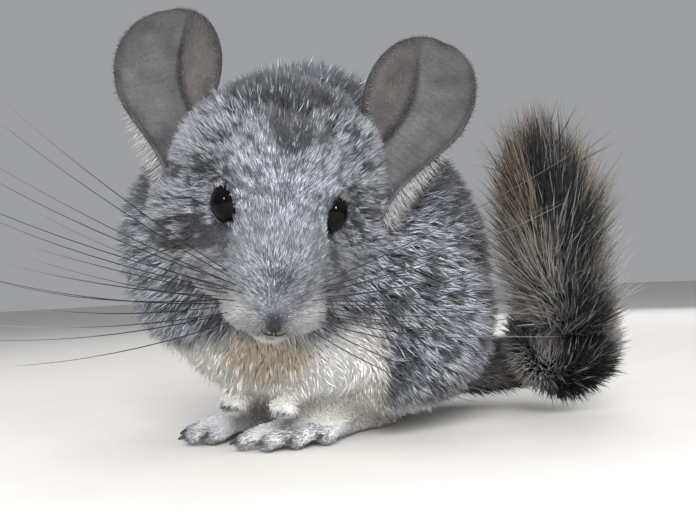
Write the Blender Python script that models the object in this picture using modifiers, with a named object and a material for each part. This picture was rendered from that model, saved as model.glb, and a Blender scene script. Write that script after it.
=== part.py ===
"""A standard grey chinchilla, life size, sitting on its hind feet with its head turned to its left.

Metres, +Z up. The animal faces -Y and its left side is +X. The origin is on the floor under the rump,
on the flat that it sits on. Each named object is one part of the body. The forms reach to the tips of
the coat, and neighbours meet face to face with a gap of 0.3 mm.
"""

import math
import random

import bmesh
import bpy
from mathutils import Matrix, Vector

MM = 0.001
GAP = 0.3

# The large parts are cut by plainer copies of their neighbours, which take a little more room
LARGE_PARTS = ("torso", "chest", "thigh")
COARSE_SHARE = 0.62
COARSE_LEAST = 280
COARSE_GAP = 0.8

COLLECTION = "chinchilla"

# The head: its centre, and how it is turned, in millimetres and degrees
HEAD_CENTRE = (30.2, -73.8, 73.2)
HEAD_YAW = 49.5
HEAD_PITCH = 31.5
HEAD_ROLL = -9.0

# The eyes, in the head's own frame: forward, left and up from its centre
EYE_RADIUS = 6.2
EYE_CENTRE = (11.4, 12.4, 3.6)
EYE_LOOK = (0.58, 0.80, 0.10)
LID_THICKNESS = 1.9
SOCKET_ROOM = 1.115
LID_OPENING = (6.4, 5.8)

NOSE_CENTRE = (43.5, 0.0, -12.2)
NOSE_RADII = (2.6, 4.3, 3.2)
NOSTRIL_RADII = (2.2, 1.3, 0.9)

EAR_LENGTH = 57.0
EAR_HALF_ARC = 18.0
EAR_THICKNESS = 1.3
EAR_ROWS = 8
EAR_COLUMNS = 9

WHISKERS_A_SIDE = 9
WHISKER_THICKNESS = 0.9
WHISKER_LENGTH = (52.0, 92.0)

FOOT_AXIS = 15.0
FOOT_HEEL = -15.0
TOE_TIPS = {
    "left": ((9.0, -76.5), (17.4, -73.5), (22.0, -66.0), (25.0, -56.5)),
    "right": ((-7.0, -75.5), (-12.5, -80.0), (-20.5, -74.0), (-26.5, -64.0)),
}
TOE_ROOTS = ((-3.6, -52.0), (1.2, -51.0), (4.8, -48.0), (6.6, -44.0))
TOE_RADIUS = 3.1
CLAW_LENGTH = 3.4
CLAW_RADIUS = 1.1

# The folded forelegs: elbow, then wrist; the palm lies one step past the wrist
FORELEGS = {
    "left": ((34.0, -48.0, 26.0), (26.0, -63.0, 19.5)),
    "right": ((-14.0, -56.0, 28.0), (8.0, -67.0, 20.5)),
}
PALM_STEP = (-0.5, -5.0, -3.0)

# The middle line of the tail, from the rump to the end of its bone
TAIL_LINE = (
    (0.0, 12.0, 18.0), (8.0, 31.0, 15.5), (26.0, 42.0, 16.0), (44.0, 40.5, 20.5), (58.0, 30.0, 29.5),
    (65.5, 17.0, 43.0), (68.5, 8.0, 59.0), (69.0, 4.0, 74.0),
)

# The share of the tail's length at which a plane parts its base from its middle
TAIL_CUT = 0.30
TAIL_TRIANGLES = 200

# The brush: where on the tail it starts, the radii of its core, and its locks, in millimetres
BRUSH_START = 0.50
BRUSH_CORE = (9.5, 5.0)
BRUSH_ROWS = 5
LOCKS_A_ROW = 5
LOCK_LENGTH = 37.0
LOCK_WIDTH = 17.5
LOCK_THICKNESS = 1.4

# Forms of the body in world millimetres: centre, then radii
BODY_FORMS = {
    "rump": ((0.0, -25.0, 53.0), (56.0, 54.0, 56.0)),
    "seat": ((0.0, -3.0, 17.0), (30.0, 27.0, 19.6)),
    "back": ((0.0, -38.0, 74.0), (47.0, 43.0, 50.0)),
    "shoulders": ((-3.0, -57.0, 62.0), (44.0, 42.0, 44.0)),
    "breast": ((9.0, -62.0, 43.0), (34.0, 28.0, 31.0)),
    "fluff": ((19.0, -60.0, 31.0), (25.0, 23.0, 18.0)),
}

BODY_TRIANGLES = 600

# The plane across the body that parts the torso from the chest
CHEST_PLANE = -52.0

NECK_FORMS = {
    "nape": ((16.0, -58.0, 80.0), (31.0, 29.0, 31.0)),
    "throat": ((24.0, -69.0, 58.0), (24.0, 22.0, 24.0)),
}

# Forms of the head in its own frame: forward, left, up
HEAD_FORMS = {
    "cranium": ((-7.0, 0.0, 6.0), (27.0, 32.0, 29.0)),
    "forehead": ((5.0, 0.0, 12.0), (21.0, 20.0, 19.0)),
    "cheek_left": ((-8.0, 18.0, -11.0), (22.0, 20.0, 23.0)),
    "cheek_right": ((-8.0, -18.0, -11.0), (22.0, 20.0, 23.0)),
    "jowl_left": ((6.0, 12.0, -15.0), (17.0, 14.0, 13.0)),
    "jowl_right": ((6.0, -12.0, -15.0), (17.0, 14.0, 13.0)),
    "face": ((15.0, 0.0, -1.0), (18.0, 15.0, 18.0)),
    "bridge": ((25.0, 0.0, -3.5), (16.0, 12.5, 12.0)),
    "muzzle_side_left": ((18.0, 8.5, -11.5), (12.0, 10.5, 10.0)),
    "muzzle_side_right": ((18.0, -8.5, -11.5), (12.0, 10.5, 10.0)),
    "muzzle": ((33.0, 0.0, -11.5), (11.0, 11.0, 9.0)),
    "jaw": ((21.0, 0.0, -17.0), (17.0, 11.5, 10.0)),
    "chin": ((32.0, 0.0, -20.5), (6.5, 6.0, 4.6)),
}
PAD_FORM = ((33.0, 7.0, -13.6), (8.8, 6.8, 6.6))

COLOURS = {
    "grey_coat": ((0.20, 0.21, 0.23), 0.9),
    "dark_coat": ((0.05, 0.05, 0.055), 0.9),
    "white_coat": ((0.72, 0.70, 0.67), 0.9),
    "ear_skin": ((0.30, 0.26, 0.26), 0.7),
    "foot_coat": ((0.62, 0.62, 0.63), 0.85),
    "eye": ((0.006, 0.005, 0.006), 0.05),
    "nose_skin": ((0.12, 0.10, 0.10), 0.5),
    "claw": ((0.14, 0.12, 0.11), 0.4),
}

# The coat or skin of each part, by how its name starts
FINISHES = {
    "whisker_pad": "white_coat", "ear": "ear_skin", "thigh": "grey_coat", "shank": "foot_coat",
    "hind_foot": "foot_coat", "foreleg": "white_coat", "forepaw": "foot_coat", "torso": "grey_coat",
    "chest": "grey_coat", "neck": "grey_coat", "head": "grey_coat", "nose": "nose_skin",
    "tail_base": "grey_coat", "tail": "dark_coat",
}

# Each ear: the middle of its base, inside the head, its tip, and the way its cup faces
EARS = {
    "left": ((41.0, -48.0, 69.0), (58.5, -31.0, 119.0), (0.75, -0.66, 0.15)),
    "right": ((8.5, -88.0, 77.0), (1.5, -90.0, 132.5), (0.66, -0.75, 0.05)),
}

SIDES = {"left": 1.0, "right": -1.0}


def material(name):
    """The material of one kind of surface."""
    found = bpy.data.materials.get(name)
    if found:
        return found
    colour, roughness = COLOURS[name]
    made = bpy.data.materials.new(name)
    made.use_nodes = True
    shader = made.node_tree.nodes["Principled BSDF"]
    shader.inputs["Base Color"].default_value = (*colour, 1.0)
    shader.inputs["Roughness"].default_value = roughness
    shader.inputs["Metallic"].default_value = 0.0
    return made


def collection(name):
    """The collection of that name, made when it is first asked for."""
    found = bpy.data.collections.get(name)
    if not found:
        found = bpy.data.collections.new(name)
        bpy.context.scene.collection.children.link(found)
    return found


def new_object(name, mesh, group=COLLECTION):
    """An object with this mesh in a collection."""
    piece = bpy.data.objects.new(name, mesh)
    collection(group).objects.link(piece)
    return piece


def from_bmesh(name, shape, group=COLLECTION):
    """An object from a bmesh, which is freed."""
    mesh = bpy.data.meshes.new(name)
    shape.to_mesh(mesh)
    shape.free()
    return new_object(name, mesh, group)


def settle(piece):
    """Apply the modifiers of an object to its mesh."""
    bpy.context.view_layer.update()
    graph = bpy.context.evaluated_depsgraph_get()
    mesh = bpy.data.meshes.new_from_object(piece.evaluated_get(graph))
    old = piece.data
    piece.modifiers.clear()
    piece.data = mesh
    bpy.data.meshes.remove(old)
    return piece


def remove(piece):
    """Delete an object and its mesh."""
    mesh = piece.data
    bpy.data.objects.remove(piece)
    bpy.data.meshes.remove(mesh)


def head_frame():
    """The matrix from the head's own frame, in millimetres, to the world's, in millimetres."""
    yaw = math.radians(HEAD_YAW)
    pitch = math.radians(HEAD_PITCH)
    ahead = Vector((math.sin(yaw) * math.cos(pitch), -math.cos(yaw) * math.cos(pitch), -math.sin(pitch)))
    up = Vector((math.sin(yaw) * math.sin(pitch), -math.cos(yaw) * math.sin(pitch), math.cos(pitch)))
    roll = Matrix.Rotation(math.radians(HEAD_ROLL), 3, ahead)
    up = roll @ up
    left = up.cross(ahead)
    turn = Matrix((ahead, left, up)).transposed().to_4x4()
    return Matrix.Translation(Vector(HEAD_CENTRE)) @ turn


def add_ball(shape, frame, centre, radii, fineness=3):
    """Add an ellipsoid to a bmesh. Sizes are in millimetres in the given frame."""
    place = frame @ Matrix.Translation(Vector(centre)) @ Matrix.Diagonal((*radii, 1.0))
    bmesh.ops.create_icosphere(shape, subdivisions=fineness, radius=1.0, matrix=Matrix.Scale(MM, 4) @ place)


def add_limb(shape, frame, points, radii):
    """Add a round limb: balls in a close row along a line, with radii that change along it."""
    for index in range(len(points) - 1):
        start = Vector(points[index])
        end = Vector(points[index + 1])
        first = radii[index]
        last = radii[index + 1]
        steps = max(2, math.ceil((end - start).length / (0.35 * min(first, last))))
        for step in range(steps + 1):
            along = step / steps
            radius = first + (last - first) * along
            add_ball(shape, frame, start.lerp(end, along), (radius, radius, radius), 2)


def count_triangles(piece):
    """The number of triangles that the mesh makes."""
    return sum(len(face.vertices) - 2 for face in piece.data.polygons)


def melt(piece, voxel, smoothing, triangles):
    """Fuse the closed forms of an object into one smooth skin with about this many triangles."""
    fuse = piece.modifiers.new("Fuse", "REMESH")
    fuse.mode = "VOXEL"
    fuse.voxel_size = voxel * MM
    settle(piece)
    soften = piece.modifiers.new("Soften", "SMOOTH")
    soften.factor = 0.5
    soften.iterations = smoothing
    settle(piece)
    thin = piece.modifiers.new("Thin", "DECIMATE")
    thin.ratio = min(1.0, triangles / count_triangles(piece))
    return settle(piece)


def forms(name, table, frame=Matrix.Identity(4)):
    """An object with one closed ball for each named form."""
    shape = bmesh.new()
    for centre, radii in table.values():
        add_ball(shape, frame, centre, radii, 4)
    return from_bmesh(name, shape)


def swollen(piece, amount, plainer=False):
    """A copy of an object, grown by an amount in millimetres, as a cutter."""
    copy = new_object(piece.name, piece.data.copy(), "cutters")
    if plainer:
        thin = copy.modifiers.new("Thin", "DECIMATE")
        thin.ratio = min(1.0, max(COARSE_SHARE, COARSE_LEAST / count_triangles(piece)))
        settle(copy)
    shape = bmesh.new()
    shape.from_mesh(copy.data)
    remove(copy)
    shape.normal_update()
    moves = [(point, point.normal.copy()) for point in shape.verts]
    for point, outward in moves:
        point.co += outward * amount * MM
    return hide(from_bmesh(piece.name + "_grown", shape, "cutters"))


def hide(cutter):
    """Mark an object as a cutter."""
    cutter.hide_render = True
    cutter.display_type = "WIRE"
    return cutter


def closed(piece):
    """True if every edge of the mesh has two faces."""
    shape = bmesh.new()
    shape.from_mesh(piece.data)
    whole = all(len(edge.link_faces) == 2 for edge in shape.edges) and len(shape.faces) > 0
    shape.free()
    return whole


def tidy_mesh(piece, sliver=0.002, method="BEAUTY"):
    """Triangulate, melt edges shorter than a sliver in millimetres, and keep the largest surface."""
    shape = bmesh.new()
    shape.from_mesh(piece.data)
    bmesh.ops.triangulate(shape, faces=shape.faces, ngon_method=method)
    if sliver:
        bmesh.ops.dissolve_degenerate(shape, dist=sliver * MM, edges=shape.edges)
        bmesh.ops.triangulate(shape, faces=shape.faces, ngon_method=method)
    islands = []
    left_over = set(shape.faces)
    while left_over:
        stack = [left_over.pop()]
        island = []
        while stack:
            face = stack.pop()
            island.append(face)
            for edge in face.edges:
                for other in edge.link_faces:
                    if other in left_over:
                        left_over.discard(other)
                        stack.append(other)
        islands.append(island)
    islands.sort(key=lambda faces: sum(face.calc_area() for face in faces))
    scraps = [face for island in islands[:-1] for face in island]
    bmesh.ops.delete(shape, geom=scraps, context="FACES")
    bmesh.ops.recalc_face_normals(shape, faces=shape.faces)
    shape.to_mesh(piece.data)
    shape.free()


def apply_boolean(piece, operation, **settings):
    """Apply one Boolean. A second solver, or a nudge of a hundredth of a millimetre, mends a failed cut."""
    backup = piece.data.copy()
    for nudge in (0.0, 0.01, -0.013):
        for solver in ("EXACT", "MANIFOLD"):
            step = piece.modifiers.new(operation, "BOOLEAN")
            step.operation = operation
            step.solver = solver
            for setting, value in settings.items():
                setattr(step, setting, value)
            settle(piece)
            result = piece.data.copy()
            for sliver, method in ((0.002, "BEAUTY"), (0.002, "EAR_CLIP"), (0.0, "BEAUTY"), (0.0, "EAR_CLIP")):
                piece.data = result.copy()
                tidy_mesh(piece, sliver, method)
                if closed(piece):
                    return piece
            piece.data = backup.copy()
            piece.data.transform(Matrix.Translation((nudge * MM, nudge * MM, nudge * MM)))
    raise RuntimeError("no closed result for " + piece.name)


def cut_by(piece, cutter):
    """Take a cutter away from an object and delete the cutter."""
    apply_boolean(piece, "DIFFERENCE", object=cutter)
    remove(cutter)
    return piece


def join_to(piece, other):
    """Join a closed form to an object and delete the form."""
    apply_boolean(piece, "UNION", object=other)
    remove(other)


def join_all(piece, group):
    """Fuse every closed object of a collection into one, and delete the collection's objects."""
    apply_boolean(piece, "UNION", operand_type="COLLECTION", collection=group)
    for used in list(group.objects):
        remove(used)
    bpy.data.collections.remove(group)
    return piece


def clear_of(piece, *neighbours):
    """Cut an object back so that it meets its neighbours with the gap."""
    for neighbour in neighbours:
        cut_by(piece, swollen(neighbour, GAP))
    return piece


def slice_off(piece, point, keep_side):
    """Cut an object along a plane, close it, and keep the side that a direction points to."""
    shape = bmesh.new()
    shape.from_mesh(piece.data)
    everything = list(shape.verts) + list(shape.edges) + list(shape.faces)
    cut = bmesh.ops.bisect_plane(
        shape, geom=everything, dist=1e-7, plane_co=Vector(point) * MM, plane_no=keep_side, clear_inner=True)
    rim = [item for item in cut["geom_cut"] if isinstance(item, bmesh.types.BMEdge)]
    bmesh.ops.contextual_create(shape, geom=rim)
    shape.to_mesh(piece.data)
    shape.free()
    tidy_mesh(piece)
    return piece


def stand_on_floor(piece):
    """Cut away what is below the floor, which leaves a flat to rest on."""
    return slice_off(piece, (0.0, 0.0, 0.0), (0.0, 0.0, 1.0))


def finish(piece, kind):
    """Give an object its material and smooth shading."""
    piece.data.materials.clear()
    piece.data.materials.append(material(kind))
    piece.data.shade_smooth()
    return piece


def mirrored(place, side):
    """A place in the head's frame on one side of it."""
    return (place[0], place[1] * side, place[2])


def axis_frame(origin, along, facing):
    """A matrix whose Z runs along one direction and whose Y faces as near as it can to another."""
    z_axis = Vector(along).normalized()
    y_axis = Vector(facing)
    y_axis = (y_axis - z_axis * y_axis.dot(z_axis)).normalized()
    x_axis = y_axis.cross(z_axis)
    turn = Matrix((x_axis, y_axis, z_axis)).transposed().to_4x4()
    return Matrix.Translation(Vector(origin)) @ turn


def eye_frame(side):
    """The frame of one eye: Y looks out and Z is up."""
    head = head_frame()
    centre = head @ Vector(mirrored(EYE_CENTRE, side))
    look = head.to_3x3() @ Vector(mirrored(EYE_LOOK, side))
    up = head.to_3x3() @ Vector((0.0, 0.0, 1.0))
    up = up - look.normalized() * up.dot(look.normalized())
    return axis_frame(centre, up, look)


def make_eye(name, side):
    """One eyeball."""
    shape = bmesh.new()
    place = Matrix.Scale(MM, 4) @ eye_frame(side)
    bmesh.ops.create_uvsphere(shape, u_segments=14, v_segments=8, radius=EYE_RADIUS, matrix=place)
    return finish(from_bmesh(name, shape), "eye")


def ball_cutter(frame, centre, radii, fineness=3):
    """One ellipsoid as a cutter."""
    shape = bmesh.new()
    add_ball(shape, frame, centre, radii, fineness)
    return hide(from_bmesh("ball_cut", shape, "cutters"))


def add_lids(head, side):
    """Join the lids of one eye to the head, and open them and the socket."""
    frame = eye_frame(side)
    socket = EYE_RADIUS * SOCKET_ROOM
    outer = EYE_RADIUS + LID_THICKNESS
    join_to(head, ball_cutter(frame, (0.0, 0.0, 0.0), (outer, outer, outer), 2))
    width, height = LID_OPENING
    hollow = ball_cutter(frame, (0.0, 0.0, 0.0), (socket, socket, socket), 2)
    join_to(hollow, ball_cutter(frame, (0.0, EYE_RADIUS, 0.0), (width, EYE_RADIUS, height)))
    cut_by(head, hollow)


def add_mouth(head):
    """Cut the cleft of the upper lip and the line of the mouth under the muzzle."""
    frame = head_frame()
    cut_by(head, ball_cutter(frame, (40.5, 0.0, -19.5), (3.6, 0.45, 5.0), 2))
    cut_by(head, ball_cutter(frame, (33.0, 0.0, -20.6), (8.4, 5.4, 0.8), 2))


def make_nose():
    """The bare end of the nose, with its nostrils."""
    frame = head_frame()
    shape = bmesh.new()
    add_ball(shape, frame, NOSE_CENTRE, NOSE_RADII, 2)
    nose = from_bmesh("nose", shape)
    for side in SIDES.values():
        x, y, z = NOSE_CENTRE
        place = (x + 2.0, side * 2.3, z - 0.6)
        cut_by(nose, ball_cutter(frame, place, NOSTRIL_RADII, 2))
    return nose


def smooth_step(low, high, value):
    """A smooth rise from 0 to 1 between two values."""
    t = min(1.0, max(0.0, (value - low) / (high - low)))
    return t * t * (3.0 - 2.0 * t)


def ear_half_arc(along):
    """Half the width of the ear, measured over its curve, at a share of its length."""
    widest = 0.56
    if along < widest:
        return EAR_HALF_ARC * (0.50 + 0.50 * smooth_step(0.0, widest, along))
    past = (along - widest) / (1.0 - widest)
    return EAR_HALF_ARC * math.sqrt(max(0.0, 1.0 - past ** 2.3))


def ear_point(along, across):
    """A point on the middle surface of the ear: X across, Y out of the cup, Z along."""
    roll = math.radians(120.0 - 72.0 * smooth_step(0.0, 0.75, along))
    half = ear_half_arc(along)
    radius = EAR_HALF_ARC * (0.50 + 0.50 * smooth_step(0.0, 0.56, along)) / roll
    angle = across * half / radius
    lean = 4.0 * along ** 2
    return Vector((radius * math.sin(angle), radius * (1.0 - math.cos(angle)) - lean, EAR_LENGTH * along))


def make_ear(name, base, tip, facing):
    """One ear: a thin cup on the side of the head, open to the front."""
    shape = bmesh.new()
    frame = axis_frame(base, Vector(tip) - Vector(base), facing)
    place = Matrix.Scale(MM, 4) @ frame
    grid = []
    for row in range(EAR_ROWS + 1):
        along = 0.995 * math.sin(0.5 * math.pi * row / EAR_ROWS) ** 1.15
        line = []
        for column in range(EAR_COLUMNS + 1):
            across = 2.0 * column / EAR_COLUMNS - 1.0
            line.append(shape.verts.new(place @ ear_point(along, across)))
        grid.append(line)
    for row in range(EAR_ROWS):
        for column in range(EAR_COLUMNS):
            corners = (grid[row][column], grid[row][column + 1], grid[row + 1][column + 1], grid[row + 1][column])
            shape.faces.new(corners)
    bmesh.ops.triangulate(shape, faces=shape.faces)
    ear = from_bmesh(name, shape)
    wall = ear.modifiers.new("Wall", "SOLIDIFY")
    wall.thickness = EAR_THICKNESS * MM
    wall.offset = 0.0
    wall.use_even_offset = False
    settle(ear)
    return ear


def add_whisker(shape, root, direction, bend, length):
    """Add one whisker, a thin four-sided taper that curves over its length."""
    rings = 5
    sides = 3
    heading = Vector(direction).normalized()
    droop = Vector(bend)
    across = heading.cross(droop)
    if across.length < 1e-6:
        across = heading.orthogonal()
    across.normalize()
    last = None
    first = None
    for ring in range(rings):
        along = ring / (rings - 1)
        point = Vector(root) + heading * length * along + droop * length * along ** 2
        tangent = (heading + droop * 2.0 * along).normalized()
        width = across
        height = tangent.cross(width).normalized()
        radius = 0.5 * WHISKER_THICKNESS * (1.0 - 0.55 * along)
        corners = []
        for side in range(sides):
            angle = 2.0 * math.pi * side / sides
            offset = (width * math.cos(angle) + height * math.sin(angle)) * radius
            corners.append(shape.verts.new((point + offset) * MM))
        if last:
            for side in range(sides):
                after = (side + 1) % sides
                shape.faces.new((last[side], last[after], corners[after], corners[side]))
        else:
            first = corners
        last = corners
    shape.faces.new(list(reversed(first)))
    shape.faces.new(last)


def make_whisker_pad(name, side):
    """One half of the upper lip, with its long whiskers."""
    frame = head_frame()
    shape = bmesh.new()
    add_ball(shape, frame, mirrored(PAD_FORM[0], side), PAD_FORM[1], 3)
    return from_bmesh(name, shape)


def whiskers(side):
    """The whiskers of one side as closed objects in a collection."""
    frame = head_frame()
    turn = frame.to_3x3()
    group = "whiskers_" + ("left" if side > 0 else "right")
    draw = random.Random(11 if side > 0 else 12)
    rows = 3
    for index in range(WHISKERS_A_SIDE):
        row = index % rows
        place = index // rows
        root = Vector((31.0 + 3.2 * place, side * (9.0 - 1.1 * place), -11.0 - 2.6 * row))
        direction = Vector((-0.10 + 0.28 * place, side * 0.92, 0.34 - 0.30 * row + draw.uniform(-0.05, 0.05)))
        bend = Vector((-0.22, 0.0, -0.05 + 0.03 * row))
        low, high = WHISKER_LENGTH
        length = high - (high - low) * place / 2.0 + draw.uniform(-4.0, 4.0)
        shape = bmesh.new()
        add_whisker(shape, frame @ root, turn @ direction, turn @ bend, length)
        bmesh.ops.recalc_face_normals(shape, faces=shape.faces)
        from_bmesh("whisker", shape, group)
    return collection(group)


def make_thigh(name, side):
    """One haunch, from the hip to the knee."""
    table = {
        "haunch": ((side * 31.0, -20.0, 38.0), (27.0, 31.0, 34.0)),
        "knee": ((side * 31.0, -32.0, 24.0), (21.0, 22.0, 19.0)),
    }
    return melt(forms(name, table), 2.0, 8, 230)


def make_shank(name, side):
    """The lower leg and the ankle, which rise from the heel into the coat."""
    shape = bmesh.new()
    heel = (side * FOOT_AXIS, FOOT_HEEL + 2.0, 7.5)
    knee = (side * (FOOT_AXIS + 8.0), FOOT_HEEL - 14.0, 24.0)
    add_limb(shape, Matrix.Identity(4), (heel, knee), (6.0, 9.0))
    return melt(from_bmesh(name, shape), 1.0, 4, 140)


def make_foot(name, side):
    """One hind foot: a long sole with four toes, on its flat."""
    shape = bmesh.new()
    frame = Matrix.Identity(4)
    sole = (
        (side * FOOT_AXIS, FOOT_HEEL, 4.8), (side * FOOT_AXIS, FOOT_HEEL - 18.0, 4.6),
        (side * (FOOT_AXIS + 1.0), FOOT_HEEL - 34.0, 4.6),
    )
    add_limb(shape, frame, sole, (5.6, 5.8, 6.6))
    for root, tip in zip(TOE_ROOTS, TOE_TIPS["left" if side > 0 else "right"]):
        start = Vector((side * (FOOT_AXIS + root[0]), root[1], 5.4))
        end = Vector((tip[0], tip[1] + TOE_RADIUS, 3.0))
        middle = start.lerp(end, 0.5) + Vector((0.0, 0.0, 1.2))
        add_limb(shape, frame, (start, middle, end), (TOE_RADIUS + 0.6, TOE_RADIUS, TOE_RADIUS))
    return stand_on_floor(melt(from_bmesh(name, shape), 0.8, 3, 340))


def make_claw(name, tip, heading, radius=CLAW_RADIUS, length=CLAW_LENGTH):
    """One short blunt claw over the end of a toe."""
    shape = bmesh.new()
    place = axis_frame(tip, heading, (0.0, 0.0, 1.0)) @ Matrix.Translation((0.0, 0.0, 0.5 * length))
    bmesh.ops.create_cone(
        shape, cap_ends=True, segments=4, radius1=radius, radius2=0.35 * radius, depth=length,
        matrix=Matrix.Scale(MM, 4) @ place)
    bmesh.ops.triangulate(shape, faces=shape.faces)
    return from_bmesh(name, shape)


def make_foreleg(name, side):
    """One foreleg, folded against the chest."""
    shape = bmesh.new()
    elbow, wrist = FORELEGS["left" if side > 0 else "right"]
    add_limb(shape, Matrix.Identity(4), (elbow, wrist), (10.0, 5.4))
    return melt(from_bmesh(name, shape), 1.2, 4, 130)


def make_forepaw(name, side):
    """One forepaw, with four short fingers held together."""
    shape = bmesh.new()
    frame = Matrix.Identity(4)
    wrist = Vector(FORELEGS["left" if side > 0 else "right"][1])
    palm = wrist + Vector(PALM_STEP)
    add_limb(shape, frame, (wrist, palm), (4.4, 3.8))
    for finger in range(4):
        spread, end = finger_end(palm, finger)
        add_limb(shape, frame, (palm + Vector((0.7 * spread, -1.0, -0.6)), end), (1.7, 1.35))
    return melt(from_bmesh(name, shape), 0.6, 2, 190)


def finger_end(palm, finger):
    """How far a finger is spread to the side, and the place of its tip."""
    spread = (finger - 1.5) * 1.9
    return spread, palm + Vector((spread, -4.6 + 0.5 * abs(finger - 1.5), -2.6))


def tail_point(along):
    """A point on the tail's middle line, at a share of its length, by a smooth curve."""
    count = len(TAIL_LINE) - 1
    scaled = min(max(along, 0.0), 1.0) * count
    index = min(int(scaled), count - 1)
    t = scaled - index
    points = [Vector(TAIL_LINE[min(max(index + step, 0), count)]) for step in (-1, 0, 1, 2)]
    before, start, end, after = points
    return 0.5 * (
        2.0 * start + (end - before) * t + (2.0 * before - 5.0 * start + 4.0 * end - after) * t ** 2
        + (3.0 * start - before - 3.0 * end + after) * t ** 3)


def tail_length(name, start, end, radii):
    """One length of the tail between two shares of its line."""
    shape = bmesh.new()
    steps = 8
    points = [tail_point(start + (end - start) * step / steps) for step in range(steps + 1)]
    sizes = [radii[0] + (radii[1] - radii[0]) * step / steps for step in range(steps + 1)]
    add_limb(shape, Matrix.Identity(4), points, sizes)
    return from_bmesh(name, shape)


def tail_slice(piece, side):
    """Smooth one length of the tail, and cut it at the plane between the first two lengths."""
    melt(piece, 1.5, 4, TAIL_TRIANGLES)
    along = (tail_point(TAIL_CUT + 0.01) - tail_point(TAIL_CUT - 0.01)).normalized() * side
    return slice_off(piece, tail_point(TAIL_CUT) + along * 0.5 * GAP, along)


def lock_width(along):
    """The width of a lock of hair at a share of its length: a sunk root, full body, long taper."""
    return (0.45 + 0.55 * smooth_step(0.0, 0.55, along)) * (1.0 - 0.80 * smooth_step(0.6, 1.0, along))


def add_lock(shape, root, lie, outward, size, lift, curl):
    """Add one flat lock of hair. It leaves along a mix of its lie and outward, and bends to its lie."""
    length, width, thickness = size
    rings = 3
    point = Vector(root)
    last = None
    for ring in range(rings + 1):
        along = ring / rings
        heading = (lie + outward * lift * (1.0 - 0.45 * along) + curl * along).normalized()
        if ring:
            point = point + heading * length / rings
        flat = heading.cross(outward).normalized()
        normal = flat.cross(heading).normalized()
        half = 0.5 * width * lock_width(along)
        depth = 0.5 * thickness * (1.0 - 0.7 * along)
        sides = ((flat, half), (normal, depth), (flat, -half), (normal, -depth))
        corners = [shape.verts.new((point + way * reach) * MM) for way, reach in sides]
        if last:
            for side in range(4):
                after = (side + 1) % 4
                shape.faces.new((last[side], last[after], corners[after], corners[side]))
        else:
            shape.faces.new(list(reversed(corners)))
        last = corners
    shape.faces.new(last)


def brush_locks():
    """The locks of the tail's brush, row by row along the bone, as closed objects in a collection."""
    draw = random.Random(7)
    group = "brush_locks"
    for row in range(BRUSH_ROWS):
        share = row / (BRUSH_ROWS - 1)
        along = BRUSH_START + (1.0 - BRUSH_START) * share
        centre = tail_point(along)
        lie = (tail_point(along + 0.01) - tail_point(along - 0.01)).normalized()
        side = lie.cross(Vector((0.0, 0.0, 1.0)) if abs(lie.z) < 0.9 else Vector((0.0, 1.0, 0.0))).normalized()
        core = BRUSH_CORE[0] + (BRUSH_CORE[1] - BRUSH_CORE[0]) * share
        count = LOCKS_A_ROW - (1 if row == BRUSH_ROWS - 1 else 0)
        for index in range(count):
            turn = 2.0 * math.pi * (index + 0.5 * (row % 2) + draw.uniform(-0.06, 0.06)) / count
            outward = Matrix.Rotation(turn, 3, lie) @ side
            lift = 0.42 - 0.12 * share + draw.uniform(-0.03, 0.03)
            size = (
                LOCK_LENGTH * (1.0 - 0.12 * share) * draw.uniform(0.92, 1.06), LOCK_WIDTH * draw.uniform(0.9, 1.1),
                LOCK_THICKNESS)
            curl = Vector((draw.uniform(-0.05, 0.05), draw.uniform(-0.05, 0.05), 0.06 * share))
            shape = bmesh.new()
            add_lock(shape, centre + outward * (core - 2.2), lie, outward, size, lift, curl)
            bmesh.ops.recalc_face_normals(shape, faces=shape.faces)
            bmesh.ops.triangulate(shape, faces=shape.faces)
            from_bmesh("lock", shape, group)
    return collection(group)


def make_brush(name):
    """The brush of the tail: a slim core of bone and underfur, with flat locks that overlap towards its tip."""
    core = melt(tail_length(name, BRUSH_START, 1.0, BRUSH_CORE), 1.5, 3, 120)
    return join_all(core, brush_locks())


def make_claws(name, foot, paw):
    """The claws of one side's hind foot and forepaw."""
    for index, tip in enumerate(TOE_TIPS[name]):
        place = (tip[0], tip[1] + 1.6, 4.0)
        claw = make_claw("hind_claw_%s_%d" % (name, index + 1), place, (0.0, -1.0, -0.25))
        finish(clear_of(claw, foot), "claw")
    palm = Vector(FORELEGS[name][1]) + Vector(PALM_STEP)
    for finger in range(4):
        end = finger_end(palm, finger)[1]
        claw = make_claw("fore_claw_%s_%d" % (name, finger + 1), end, (0.0, -0.8, -0.6), 0.7, 2.6)
        finish(clear_of(claw, paw), "claw")


def make_body(name, side):
    """The body on one side of the plane across it: the torso behind, or the chest in front."""
    body = stand_on_floor(melt(forms(name, BODY_FORMS), 2.5, 10, BODY_TRIANGLES))
    return slice_off(body, (0.0, CHEST_PLANE + side * 0.5 * GAP, 0.0), (0.0, side, 0.0))


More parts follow.
